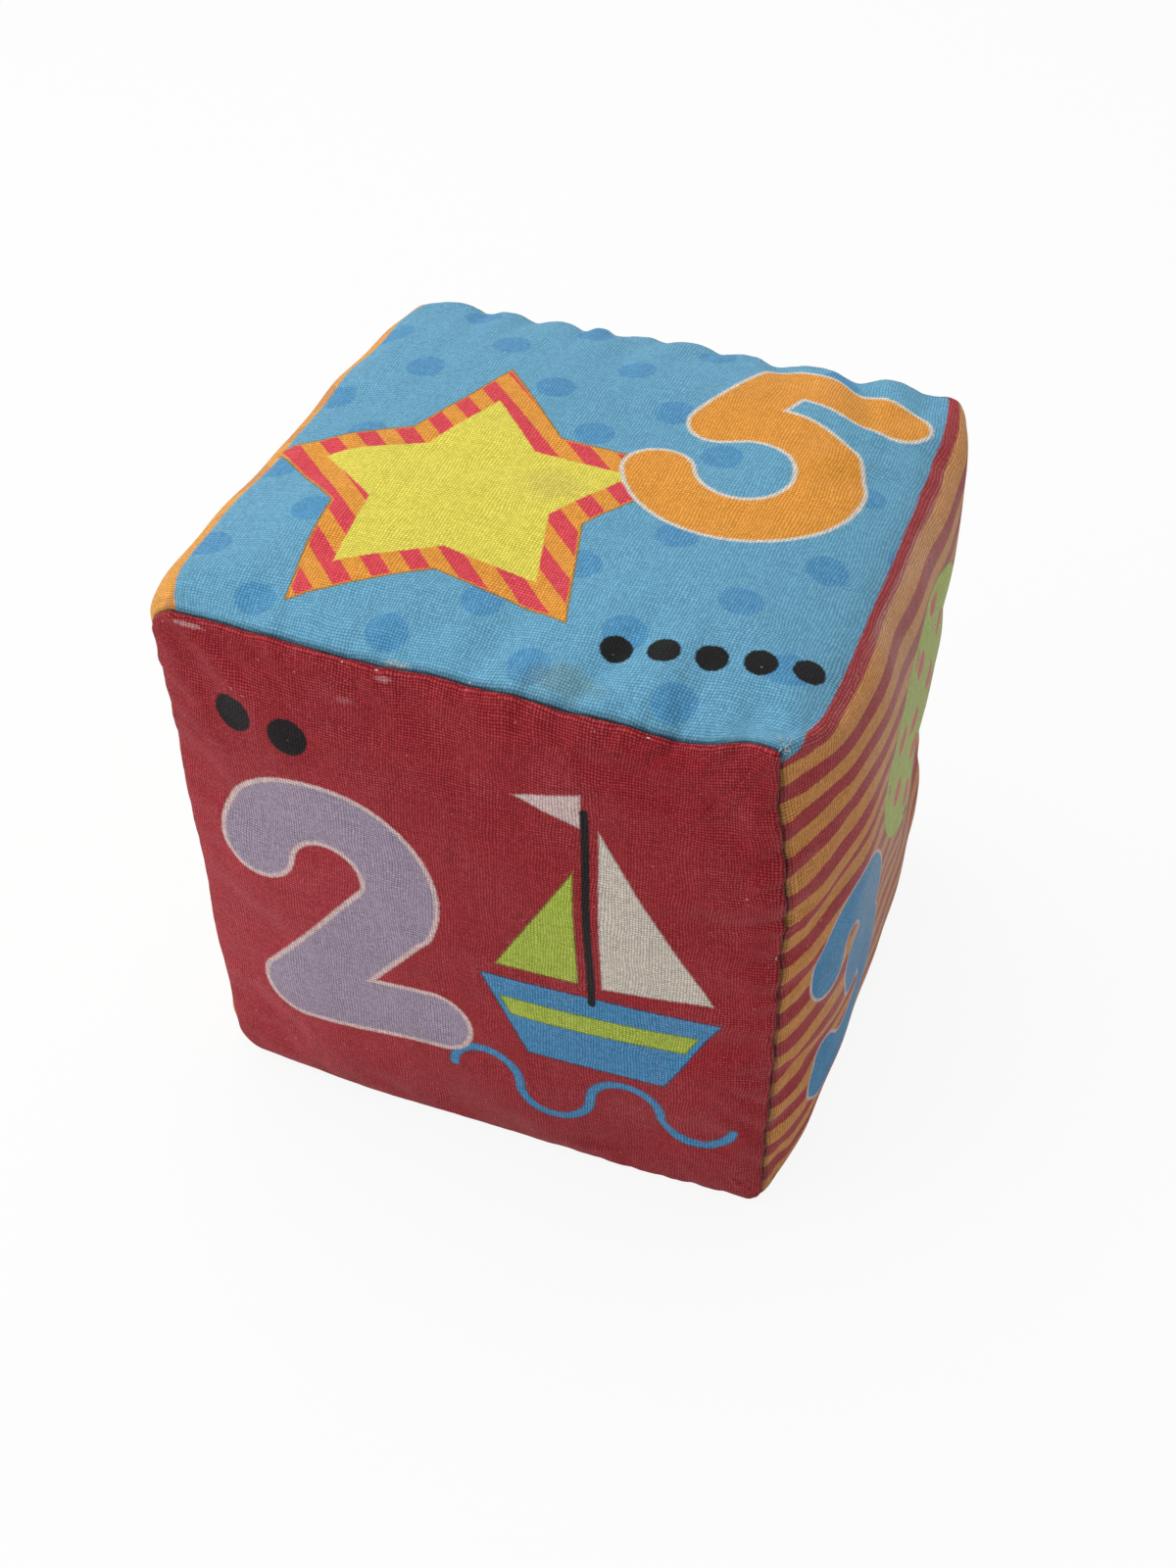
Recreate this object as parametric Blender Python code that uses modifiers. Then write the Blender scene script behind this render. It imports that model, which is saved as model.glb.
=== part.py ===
"""A soft fabric block: printed cotton sewn round a cube of foam.

The cover is cut as three pieces. A long strip folds round the bottom, right, top and left sides,
and its two ends meet in a hand-sewn seam at the lower left edge. A square panel closes the front
and another the back. Each is sewn to the strip all round, and the seam allowances lie under the
strip: the strip turns back under itself in a lip, and the panel rolls in beneath that lip.

Every piece is first laid out on a square block, where its place is an inset from the outside and
a distance along Y. The soften function then moves all the pieces alike, so they stay as far apart
as they were, while the sides swell and the corners stay drawn in.

Lengths are in metres. The front faces -Y, the right side +X, and the origin is the middle of the
flat place that the block rests on.
"""

import math

import bmesh
import bpy
from mathutils import Vector

# The block, measured from corner to corner
WIDTH = 0.090
DEPTH = 0.087
HEIGHT = 0.091
BACK_WIDER = 0.0012
FOLD_RADIUS = 0.005

# How far each side swells past its corners in the middle
SIDE_CROWN = 0.0046
PANEL_CROWN = 0.0030
TOP_CROWN = 0.0021
BOTTOM_CROWN = 0.0015
REST_CUT = 0.0005

# How far the middles of the edges stand out, or are drawn in
SIDE_SEAM_DRAW = 0.0004
SIDE_FOLD_BOW = 0.0024
PANEL_UPRIGHT_BOW = 0.0002
PANEL_LEVEL_BOW = 0.0012
BOTTOM_EDGE_BOW = 0.0006
TOP_FOLD_DRAW = 0.0005
TOP_SEAM_DRAW = 0.0008

# Powers that say how full a side stays before it rounds off to its seams or its folds
SEAM_POWER = 5.0
FOLD_POWER = 4.0
PANEL_POWER = 2.6

# Cloth, thread and the room left between pieces
CLOTH = 0.0005
MACHINE_THREAD = 0.00025
HAND_THREAD = 0.0003
CLEARANCE = 0.00035

# The seams
ALLOWANCE = 0.006
LIP_SET_BACK = 0.0003
PANEL_ROLL = 0.002
CORNER_CLIP = 0.004
END_MARGIN = 0.001
FOAM_RAMP = 0.003
LEAST_ROUND = 0.0003

# How many cells of the lattice, which every piece shares, lie along each stretch
ARC_COUNT = 2
SPAN_COUNT = 4
TURN_COUNT = 3
ROLL_COUNT = 3
ALLOWANCE_COUNT = 2
BODY_ROW_SHARES = (-1.0, -0.6, 0.6, 1.0)
SIDE_COUNT = 2 * (ARC_COUNT + 1) + SPAN_COUNT
RING_COUNT = 4 * SIDE_COUNT
LIP_ROW_COUNT = ALLOWANCE_COUNT + TURN_COUNT
WELD_SHARE = 0.02

# Sizes that follow from those above
HALF = Vector((WIDTH / 2, DEPTH / 2, HEIGHT / 2))
CLOTH_HALF = CLOTH / 2
TURN_RADIUS = (CLOTH + MACHINE_THREAD) / 2 + CLEARANCE
NOSE_RADIUS = TURN_RADIUS + CLOTH_HALF
LIP_INSET = CLOTH_HALF + 2 * TURN_RADIUS
FLANGE_INSET = LIP_INSET + CLOTH + CLEARANCE
ROLL_RADIUS = PANEL_ROLL - CLOTH_HALF
FACE_INSET = FLANGE_INSET + ROLL_RADIUS
LIP_Y = HALF.y - LIP_SET_BACK - NOSE_RADIUS
RAW_EDGE_Y = LIP_Y - ALLOWANCE
FOAM_END_Y = HALF.y - CLOTH - CLEARANCE
FOAM_BAND_INSET = FLANGE_INSET + CLOTH_HALF + CLEARANCE
FOAM_BODY_INSET = CLOTH + CLEARANCE
FOAM_CLOSING_INSET = LIP_INSET + CLOTH_HALF + CLEARANCE
FOAM_BAND_Y = RAW_EDGE_Y - CLEARANCE
LEDGE_Y = FOAM_BAND_Y - FOAM_RAMP

# The foam's rounded edge leaves room for the bobbin thread inside the panel's roll
DIAGONAL_GAIN = math.sqrt(2) - 1
ROLL_HOLLOW = ROLL_RADIUS - CLOTH_HALF
FOAM_ROUND = ROLL_HOLLOW + (MACHINE_THREAD + (2 - math.sqrt(2)) * CLEARANCE) / DIAGONAL_GAIN
BOBBIN_ARM = (ROLL_HOLLOW - CLEARANCE - MACHINE_THREAD / 2) / math.sqrt(2)

# The strip's ends stop short of the corner's diagonal, so that their folds clear each other
CLOSING_ARM = FOLD_RADIUS - CLOTH_HALF - TURN_RADIUS
CLOSING_ANGLE = math.asin((NOSE_RADIUS + CLEARANCE / 2) / CLOSING_ARM)

# Each side's direction of travel round the block, and the way that it faces
SIDES = (
    (Vector((1, 0, 0)), Vector((0, 0, -1))),
    (Vector((0, 0, 1)), Vector((1, 0, 0))),
    (Vector((-1, 0, 0)), Vector((0, 0, 1))),
    (Vector((0, 0, -1)), Vector((-1, 0, 0))),
)

COLOURS = {
    "wrap_strip": (0.148, 0.440, 0.645),
    "front_panel": (0.356, 0.042, 0.043),
    "back_panel": (0.323, 0.451, 0.060),
    "foam_core": (0.790, 0.745, 0.560),
    "front_needle_thread": (0.730, 0.700, 0.640),
    "front_bobbin_thread": (0.730, 0.700, 0.640),
    "back_needle_thread": (0.730, 0.700, 0.640),
    "back_bobbin_thread": (0.730, 0.700, 0.640),
    "closing_thread": (0.730, 0.330, 0.060),
}


def swell(crown, bow_p, bow_q, shut_p, shut_q):
    """Swell of a side: its crown in the middle, a bow on its edges and nothing at its corners.

    Each shut runs from 0 in the middle of the side to 1 at a pair of its edges.
    """
    open_p, open_q = 1 - shut_p, 1 - shut_q
    return crown * open_p * open_q + bow_p * shut_p * open_q + bow_q * shut_q * open_p


def soften(point):
    """Move a point of the square block, given from its middle, to its place in the soft one."""
    u, v, w = point.x / HALF.x, point.y / HALF.y, point.z / HALF.z
    seam = abs(v) ** SEAM_POWER
    side_fold, top_fold = abs(w) ** FOLD_POWER, abs(u) ** FOLD_POWER
    panel_side, panel_top = abs(u) ** PANEL_POWER, abs(w) ** PANEL_POWER
    sideways = swell(SIDE_CROWN, -SIDE_SEAM_DRAW, SIDE_FOLD_BOW, seam, side_fold)
    forward = swell(PANEL_CROWN, PANEL_UPRIGHT_BOW, PANEL_LEVEL_BOW, panel_side, panel_top)
    upright = swell(TOP_CROWN, -TOP_FOLD_DRAW, -TOP_SEAM_DRAW, top_fold, seam)
    rest = BOTTOM_CROWN - REST_CUT
    if w < 0:
        bottom = swell(BOTTOM_CROWN, BOTTOM_EDGE_BOW, BOTTOM_EDGE_BOW, top_fold, seam)
        upright = min(bottom, rest)
    x = point.x + u * (sideways + v * BACK_WIDER / 4)
    return Vector((x, point.y + v * forward, point.z + w * upright + HALF.z + rest))


def side_point(side, step, inset, narrowed=0.0):
    """A point of the square block's outline on one side, and the way that the outline faces.

    Steps run from 0 to SIDE_COUNT between the middles of two folded corners. An inset outline has
    its corners' centres where the outer one has them, until its corners are as good as sharp.
    """
    along_way, out_way = SIDES[side]
    half_along = HALF.dot(Vector([abs(part) for part in along_way]))
    half_out = HALF.dot(Vector([abs(part) for part in out_way]))
    radius = max(FOLD_RADIUS - inset, LEAST_ROUND)
    near = min(step, SIDE_COUNT - step)
    turn = -1 if step < SIDE_COUNT / 2 else 1
    clipped = half_along - FOLD_RADIUS - CORNER_CLIP
    angle = 0.0
    if near <= ARC_COUNT:
        angle = (math.pi / 4 - narrowed) * (1 - near / ARC_COUNT)
        along = half_along - inset - radius + radius * math.sin(angle)
    elif near <= ARC_COUNT + 1:
        along = half_along - inset - radius
        along += (near - ARC_COUNT) * (clipped - along)
    else:
        along = clipped * (1 - (near - ARC_COUNT - 1) / (SPAN_COUNT / 2))
    out = half_out - inset - radius + radius * math.cos(angle)
    facing = out_way * math.cos(angle) + along_way * turn * math.sin(angle)
    return along_way * turn * along + out_way * out, facing


def ring_point(step, inset, opened=False):
    """A point of the outline counted from the lower left corner, bottom side first."""
    side = min(int(step // SIDE_COUNT), len(SIDES) - 1)
    local = step - side * SIDE_COUNT
    at_closing = step <= ARC_COUNT or step >= RING_COUNT - ARC_COUNT
    narrowed = CLOSING_ANGLE if opened and at_closing else 0.0
    return side_point(side, local, inset, narrowed)


def lattice(columns, rows, keep, place):
    """A unit grid, cut down to the cells that keep allows, with each corner where place says."""
    mesh = bmesh.new()
    bmesh.ops.create_grid(mesh, x_segments=columns, y_segments=rows, size=1)

    def spot(co):
        return (co.x + 1) / 2 * columns, (co.y + 1) / 2 * rows

    cut = []
    for face in mesh.faces:
        column, row = spot(face.calc_center_median())
        if not keep(math.floor(column), math.floor(row)):
            cut.append(face)
    bmesh.ops.delete(mesh, geom=cut, context="FACES")
    for vert in mesh.verts:
        column, row = spot(vert.co)
        vert.co = place(round(column), round(row))
    bmesh.ops.remove_doubles(mesh, verts=mesh.verts, dist=WELD_SHARE * CLOTH)
    return mesh


def material(name):
    """A matt finish for one piece, with a little sheen as cotton has."""
    finish = bpy.data.materials.new(name + "_finish")
    finish.use_nodes = True
    shader = finish.node_tree.nodes["Principled BSDF"]
    shader.inputs["Base Color"].default_value = (*COLOURS[name], 1)
    shader.inputs["Roughness"].default_value = 0.9
    shader.inputs["Metallic"].default_value = 0.0
    return finish


def add_object(name, data, collection):
    """Put a mesh or a curve in the block's collection as a named object with its finish."""
    made = bpy.data.objects.new(name, data)
    data.materials.append(material(name))
    collection.objects.link(made)
    return made


def soften_mesh(mesh):
    """Soften every corner of a mesh, then turn its faces outwards."""
    shape = bmesh.new()
    shape.from_mesh(mesh)
    for vert in shape.verts:
        vert.co = soften(vert.co)
    bmesh.ops.recalc_face_normals(shape, faces=shape.faces)
    shape.to_mesh(mesh)
    shape.free()


def add_cloth(name, sheet, collection):
    """Give a sheet of cells the cloth's thickness on the square block, and soften the result."""
    flat = bpy.data.meshes.new(name + "_sheet")
    sheet.to_mesh(flat)
    sheet.free()
    draft = bpy.data.objects.new(name + "_draft", flat)
    collection.objects.link(draft)
    wall = draft.modifiers.new("cloth", "SOLIDIFY")
    wall.thickness = CLOTH
    wall.offset = 0
    wall.use_even_offset = True
    bpy.context.view_layer.update()
    seen = draft.evaluated_get(bpy.context.evaluated_depsgraph_get())
    mesh = bpy.data.meshes.new_from_object(seen)
    bpy.data.objects.remove(draft)
    bpy.data.meshes.remove(flat)
    mesh.name = name
    soften_mesh(mesh)
    return add_object(name, mesh, collection)


def lip_turn(share):
    """How far the turned lip lies out and in at a share of its half turn."""
    angle = math.pi * share
    return TURN_RADIUS * math.sin(angle), TURN_RADIUS * (1 - math.cos(angle))


def allowance_y(cell):
    """Where a row of the seam allowances lies, a number of cells from their raw edges."""
    return RAW_EDGE_Y + (LIP_Y - RAW_EDGE_Y) * cell / ALLOWANCE_COUNT


def strip_row(row):
    """Where a row of the strip lies along Y, and its inset from the outside."""
    last = 2 * LIP_ROW_COUNT + len(BODY_ROW_SHARES) + 1
    near = min(row, last - row)
    way = -1 if row < last / 2 else 1
    if near < ALLOWANCE_COUNT:
        return way * allowance_y(near), LIP_INSET
    if near <= LIP_ROW_COUNT:
        out, sunk = lip_turn((LIP_ROW_COUNT - near) / TURN_COUNT)
        return way * (LIP_Y + out), CLOTH_HALF + sunk
    return LEDGE_Y * BODY_ROW_SHARES[row - LIP_ROW_COUNT - 1], CLOTH_HALF


def strip_end_point(beyond, at_start):
    """A point of the strip's end fold: round its half turn, then back under the strip."""
    edge = 0 if at_start else RING_COUNT
    way = -1 if at_start else 1
    if beyond <= TURN_COUNT:
        out, sunk = lip_turn(beyond / TURN_COUNT)
        centre, facing = ring_point(edge, CLOTH_HALF, opened=True)
        onward = Vector((-facing.z, 0, facing.x)) * way
        return centre + onward * out - facing * sunk
    back = beyond - TURN_COUNT
    if back <= ARC_COUNT:
        return ring_point(edge - way * back, LIP_INSET, opened=True)[0]
    corner = ring_point(edge - way * ARC_COUNT, LIP_INSET)[0]
    clipped = ring_point(edge - way * (ARC_COUNT + 1), LIP_INSET)[0]
    return clipped + (corner - clipped).normalized() * END_MARGIN


def wrap_strip(collection):
    """The strip round four sides, with its lips, seam allowances and folded ends.

    The allowances are clipped away at the corners, where the lips stop short of a full turn.
    """
    end_cells = TURN_COUNT + ARC_COUNT + 1
    columns = RING_COUNT + 2 * end_cells
    rows = 2 * LIP_ROW_COUNT + len(BODY_ROW_SHARES) + 1

    def keep(column, row):
        ring = column - end_cells
        near_row = min(row, rows - 1 - row)
        on_end = ring < 0 or ring >= RING_COUNT
        if near_row >= LIP_ROW_COUNT:
            return True
        if on_end:
            return False
        clipped = not ARC_COUNT < ring % SIDE_COUNT < SIDE_COUNT - 1 - ARC_COUNT
        return not (clipped and near_row <= ALLOWANCE_COUNT)

    def place(column, row):
        ring = column - end_cells
        y, inset = strip_row(row)
        if ring < 0:
            spot = strip_end_point(-ring, True)
        elif ring > RING_COUNT:
            spot = strip_end_point(ring - RING_COUNT, False)
        else:
            spot = ring_point(ring, inset, opened=True)[0]
        return Vector((spot.x, y, spot.z))

    return add_cloth("wrap_strip", lattice(columns, rows, keep, place), collection)


def face_point(column, row, inset):
    """A point of a square panel's own lattice, laid in rings that shrink to its middle."""
    middle = SIDE_COUNT / 2
    right, up = column - middle, row - middle
    ring = max(abs(right), abs(up))
    if not ring:
        return Vector((0, 0, 0))
    if abs(up) == ring:
        side, local = (0, right) if up < 0 else (2, -right)
    else:
        side, local = (1, up) if right > 0 else (3, -up)
    step = middle + local * middle / ring
    return side_point(side, step, inset)[0] * (ring / middle)


def panel(name, way, collection):
    """A square panel whose border rolls in under the strip's lip; way is -1 at the front."""
    skirt = ROLL_COUNT + ALLOWANCE_COUNT
    cells = SIDE_COUNT + 2 * skirt

    def beyond(index):
        return max(skirt - index, index - skirt - SIDE_COUNT, 0)

    def keep(column, row):
        over = max(skirt - column, column + 1 - skirt - SIDE_COUNT, 0)
        above = max(skirt - row, row + 1 - skirt - SIDE_COUNT, 0)
        if over and above:
            return False
        if max(over, above) <= ROLL_COUNT:
            return True
        step = (row if over else column) - skirt
        return ARC_COUNT < step < SIDE_COUNT - 1 - ARC_COUNT

    def place(column, row):
        out = max(beyond(column), beyond(row))
        angle = math.pi / 2 * min(out / ROLL_COUNT, 1)
        inset = FACE_INSET - ROLL_RADIUS * math.sin(angle)
        y = HALF.y - CLOTH_HALF - ROLL_RADIUS * (1 - math.cos(angle))
        if out > ROLL_COUNT:
            y = allowance_y(skirt - out)
        held = [min(max(index - skirt, 0), SIDE_COUNT) for index in (column, row)]
        spot = face_point(*held, inset)
        return Vector((spot.x, way * y, spot.z))

    return add_cloth(name, lattice(cells, cells, keep, place), collection)


def foam_rows():
    """The foam's rows from front to back, each a place along Y and an inset."""
    front = []
    for cell in range(ROLL_COUNT + 1):
        angle = math.pi / 2 * cell / ROLL_COUNT
        inset = FOAM_BAND_INSET + FOAM_ROUND * (1 - math.sin(angle))
        front.append((-FOAM_END_Y + FOAM_ROUND * (1 - math.cos(angle)), inset))
    front.append((-allowance_y(ALLOWANCE_COUNT - 1), FOAM_BAND_INSET))
    front.append((-FOAM_BAND_Y, FOAM_BAND_INSET))
    body = [(LEDGE_Y * share, FOAM_BODY_INSET) for share in BODY_ROW_SHARES]
    back = [(-y, inset) for y, inset in reversed(front)]
    return front + body + back


def foam_core(collection):
    """The foam cube, squashed under the seam allowances at its ends and at the closing edge."""
    rows = foam_rows()

    def everywhere(_column, _row):
        return True

    def place(column, row):
        y, inset = rows[row]
        at_closing = min(column, RING_COUNT - column) <= ARC_COUNT + 1
        if at_closing and inset == FOAM_BODY_INSET:
            inset = FOAM_CLOSING_INSET
        spot = ring_point(column, inset)[0]
        return Vector((spot.x, y, spot.z))

    def cap(way):
        def place_cap(column, row):
            spot = face_point(column, row, rows[0][1])
            return Vector((spot.x, way * FOAM_END_Y, spot.z))

        return lattice(SIDE_COUNT, SIDE_COUNT, everywhere, place_cap)

    skins = [lattice(RING_COUNT, len(rows) - 1, everywhere, place), cap(-1), cap(1)]
    whole = bmesh.new()
    for skin in skins:
        piece = bpy.data.meshes.new("foam_skin")
        skin.to_mesh(piece)
        skin.free()
        whole.from_mesh(piece)
        bpy.data.meshes.remove(piece)
    bmesh.ops.remove_doubles(whole, verts=whole.verts, dist=WELD_SHARE * CLOTH)
    mesh = bpy.data.meshes.new("foam_core")
    whole.to_mesh(mesh)
    whole.free()
    soften_mesh(mesh)
    return add_object("foam_core", mesh, collection)


def add_thread(name, points, thickness, collection):
    """A thread as a round tube with closed ends along points of the square block."""
    data = bpy.data.curves.new(name, "CURVE")
    data.dimensions = "3D"
    data.bevel_depth = thickness / 2
    data.bevel_resolution = 2
    data.use_fill_caps = True
    run = data.splines.new("POLY")
    run.points.add(len(points) - 1)
    for spot, point in zip(run.points, points):
        spot.co = (*soften(point), 1)
    return add_object(name, data, collection)


def seam_thread(name, way, y, inset, collection):
    """A seam's thread, which starts and stops at the strip's two ends."""
    points = []
    for step in range(RING_COUNT + 1):
        spot = ring_point(step, inset, opened=True)[0]
        points.append(Vector((spot.x, way * y, spot.z)))
    return add_thread(name, points, MACHINE_THREAD, collection)


def closing_thread(collection):
    """The hand thread in the groove between the strip's two folded ends."""
    reach = NOSE_RADIUS + CLEARANCE + HAND_THREAD / 2
    apart = NOSE_RADIUS + CLEARANCE / 2
    arm = CLOSING_ARM * math.cos(CLOSING_ANGLE) + math.sqrt(reach**2 - apart**2)
    spot = ring_point(0, FOLD_RADIUS - arm)[0]
    stations = [-LIP_Y] + [LEDGE_Y * share for share in BODY_ROW_SHARES] + [LIP_Y]
    points = [Vector((spot.x, y, spot.z)) for y in stations]
    add_thread("closing_thread", points, HAND_THREAD, collection)


def clear_scene():
    """Remove whatever the file holds."""
    for old in list(bpy.data.objects):
        bpy.data.objects.remove(old)


def main():
    clear_scene()
    collection = bpy.data.collections.new("soft_fabric_block")
    bpy.context.scene.collection.children.link(collection)
    foam_core(collection)
    wrap_strip(collection)
    needle_inset = CLOTH_HALF + TURN_RADIUS
    bobbin_y = HALF.y - PANEL_ROLL + BOBBIN_ARM
    for label, way in (("front", -1), ("back", 1)):
        panel(label + "_panel", way, collection)
        seam_thread(label + "_needle_thread", way, LIP_Y, needle_inset, collection)
        seam_thread(label + "_bobbin_thread", way, bobbin_y, FACE_INSET - BOBBIN_ARM, collection)
    closing_thread(collection)


main()
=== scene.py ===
"""A soft fabric block, dressed: printed cotton over foam, with its seams, stitches, prints, fading, rubbing
and lint, and painted shade in its seams' creases.

The cover repeats the part's own sizes. Each sheet of cotton is laid out cell by cell on a square
block, and the soften function then swells the sides, draws in the seams and gathers the puckers.
The map named Pattern holds the flat cloth in metres, and every print is drawn on it.
"""

import math

import bmesh
import bpy
import numpy as np
from mathutils import Matrix, Vector


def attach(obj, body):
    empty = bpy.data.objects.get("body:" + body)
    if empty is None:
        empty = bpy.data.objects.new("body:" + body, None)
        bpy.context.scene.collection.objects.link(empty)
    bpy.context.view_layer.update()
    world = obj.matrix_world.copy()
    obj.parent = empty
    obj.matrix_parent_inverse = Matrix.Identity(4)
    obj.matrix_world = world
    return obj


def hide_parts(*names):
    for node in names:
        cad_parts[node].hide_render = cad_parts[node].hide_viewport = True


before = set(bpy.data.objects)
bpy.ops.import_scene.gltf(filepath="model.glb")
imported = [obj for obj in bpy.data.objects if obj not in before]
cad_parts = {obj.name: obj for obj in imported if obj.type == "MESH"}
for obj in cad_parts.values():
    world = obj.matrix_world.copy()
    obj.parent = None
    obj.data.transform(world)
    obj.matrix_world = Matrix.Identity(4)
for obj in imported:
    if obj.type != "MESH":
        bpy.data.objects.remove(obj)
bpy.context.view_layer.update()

bl_info = {
    "name": "Soft Fabric Block",
    "version": (1, 0, 0),
    "blender": (4, 5, 0),
    "location": "View3D > Sidebar > Fabric Block",
    "description": "Makes a cube of printed cotton sewn over foam",
    "category": "Add Mesh",
}

MM = 0.001

# The block, as the part has it
WIDTH = 0.090
DEPTH = 0.087
HEIGHT = 0.091
BACK_WIDER = 0.0012
FOLD_RADIUS = 0.005
SIDE_CROWN = 0.0046
PANEL_CROWN = 0.0030
TOP_CROWN = 0.0021
BOTTOM_CROWN = 0.0015
REST_CUT = 0.0005
SIDE_SEAM_DRAW = 0.0004
SIDE_FOLD_BOW = 0.0024
PANEL_UPRIGHT_BOW = 0.0002
PANEL_LEVEL_BOW = 0.0012
BOTTOM_EDGE_BOW = 0.0006
TOP_FOLD_DRAW = 0.0005
TOP_SEAM_DRAW = 0.0008
SEAM_POWER = 5.0
FOLD_POWER = 4.0
PANEL_POWER = 2.6
HALF = np.array((WIDTH, DEPTH, HEIGHT)) / 2
REST = BOTTOM_CROWN - REST_CUT

# How strongly the seams gather at the middle of the bottom, right, top and left sides
FRONT_GATHERS = (0.15, 1.6, 1.9, 0.15)
BACK_GATHERS = (0.5, 0.6, 1.0, 0.6)

# The cloth's own layers, thinner than the part's stand-ins
COTTON = 0.00030
COTTON_HALF = COTTON / 2
LAYER_GAP = 0.00004
THREAD = 0.00022
TURN_RADIUS = 0.00030
LIP_SET_BACK = 0.0008
NOSE_RADIUS = TURN_RADIUS + COTTON_HALF
LIP_INSET = COTTON_HALF + 2 * TURN_RADIUS
FLANGE_INSET = LIP_INSET + COTTON + LAYER_GAP
ALLOWANCE = 0.006
CORNER_CLIP = 0.004
LIP_Y = HALF[1] - LIP_SET_BACK - NOSE_RADIUS
RAW_EDGE_Y = LIP_Y - ALLOWANCE
LEAST_ROUND = 0.0003

# A panel wraps round the strip's lip and rolls forward over it, then rises to its crown. The back
# panel (way 1) keeps further in than the front one (way -1), so the strip hides its edge.
NOSE_INSET = COTTON_HALF + TURN_RADIUS
WRAP_RADIUS = FLANGE_INSET - NOSE_INSET
PANEL_ROLL = 0.00032
ROLL_INSET = {-1: 0.00042, 1: 0.00105}
ROLL_Y = {
    way: LIP_Y + math.sqrt((WRAP_RADIUS + PANEL_ROLL) ** 2 - (inset - NOSE_INSET) ** 2)
    for way, inset in ROLL_INSET.items()
}
EDGE_RISE = 0.0007
EDGE_REACH = 0.0030
FACE_CROWN = PANEL_CROWN + HALF[1] - ROLL_Y[-1] - PANEL_ROLL - EDGE_RISE - COTTON_HALF

# The folds are crisper at the seams than away from them, each in its own way: lower left,
# lower right, upper right and upper left. The strip drops to its lip.
FRONT_FOLD_RADII = np.array((0.0040, 0.0022, 0.0012, 0.0046))
BACK_FOLD_RADII = np.array((0.0024, 0.0024, 0.0030, 0.0045))
FOLD_REACH = 0.016
SHOULDER_DRAW = 0.00035

# Cells of the lattices
ARC_CELLS = 6
SPAN_CELLS = 116
SIDE_CELLS = 2 * ARC_CELLS + SPAN_CELLS
RING_CELLS = 4 * SIDE_CELLS
BODY_CELLS = 62
TURN_CELLS = 6
ROLL_CELLS = 7
WRAP_CELLS = 4
ALLOWANCE_CELLS = 4

# The foam: its coarser lattice, the rounding of its ends, and the ramp beside the allowances
FOAM_CELL = 0.0028
FOAM_SKIP = 4
FOAM_ROUND = 0.0010
FOAM_MARGIN = 0.0006
FOAM_RAMP = 0.004

# The coarse cover that settles as cloth, and how far it may move
SETTLE_SKIP = 4
SETTLE_ROWS = 31
SETTLE_FRAMES = 20
MOST_MOVED = 0.0009
MOST_SUNK = 0.00025

# How far out of a seam's crease the cloth is darkened with painted shade
CREASE_REACH = 0.0005

# Ladder stitches and frayed threads
LADDER_HALF = 0.00045
FRAY_ROOT = (0.0441, -0.0418, 0.0450)
FRAY_WAY = (0.35, -0.35, 0.85)
FRAY_SPREAD = 0.0006
FRAY_COUNT = 18
FRAY_LENGTHS = (0.0005, 0.0015)

# Room between the closing seam's folded ends
CLOSING_GAP = 0.0001

SECTIONS = ("bottom", "right", "top", "left")

# The common patterns of the prints, in millimetres
DOT_SPACING = 13.6
SQUARE_SPACING = 15.0
STRIPE_PERIOD = 5.9
STRIPE_HALF = 1.45
BOTTOM_START = 5.5
STAR_BAND = 7.0
STAR_BAND_HALF = 1.7


def ink(code):
    """A colour written as a web code, as Blender's linear red, green and blue."""
    parts = [int(code[place : place + 2], 16) / 255 for place in (1, 3, 5)]
    return [part / 12.92 if part <= 0.04045 else ((part + 0.055) / 1.055) ** 2.4 for part in parts]


def colour_setting(label, code, text):
    """A colour that the sidebar shows."""
    return bpy.props.FloatVectorProperty(
        name=label, description=text, subtype="COLOR", size=3, min=0, max=1, default=ink(code)
    )


def length_setting(label, metres, text):
    """A length that the sidebar shows."""
    return bpy.props.FloatProperty(
        name=label, description=text, subtype="DISTANCE", unit="LENGTH", default=metres, min=0
    )


def share_setting(label, value, text):
    """A plain number that the sidebar shows."""
    return bpy.props.FloatProperty(name=label, description=text, default=value)


class FabricBlockForm(bpy.types.PropertyGroup):
    """How the cotton gathers and how finely it is woven."""

    front_spacing: length_setting("Front puckers", 0.0060, "From one gather to the next on the front seam")
    front_depth: length_setting("Front pucker depth", 0.00030, "How deep the front seam gathers")
    back_spacing: length_setting("Back puckers", 0.0095, "From one gather to the next on the back seam")
    back_depth: length_setting("Back pucker depth", 0.00150, "How deep the back seam gathers")
    pucker_reach: length_setting("Pucker reach", 0.0070, "How far a gather runs in from its seam")
    stitch_bite: length_setting("Stitch bite", 0.00013, "How deep each stitch draws the cotton in")
    seam_wander: length_setting("Seam wander", 0.00022, "How far the sewn line strays")
    lump_height: length_setting("Lumps", 0.00028, "Unevenness of the foam under the cloth")
    weave_pitch: length_setting("Weave pitch", 0.00043, "From one thread of the cotton to the next")
    stitch_length: length_setting("Stitch", 0.0025, "Length of a machine stitch")
    ladder_spacing: length_setting("Ladder stitches", 0.0040, "From one closing stitch to the next")
    foam_push: share_setting("Foam's push", 1.5, "Pressure under the cloth")
    foam_grip: share_setting("Foam's grip", 0.03, "How firmly it holds")
    slack: share_setting("Slack", 0.005, "Share by which the cloth is too big")
    cotton_bend: share_setting("Stiffness", 0.4, "Against bending")
    seed: bpy.props.IntProperty(name="Seed", description="Picks another set of gathers", default=7)


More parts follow.
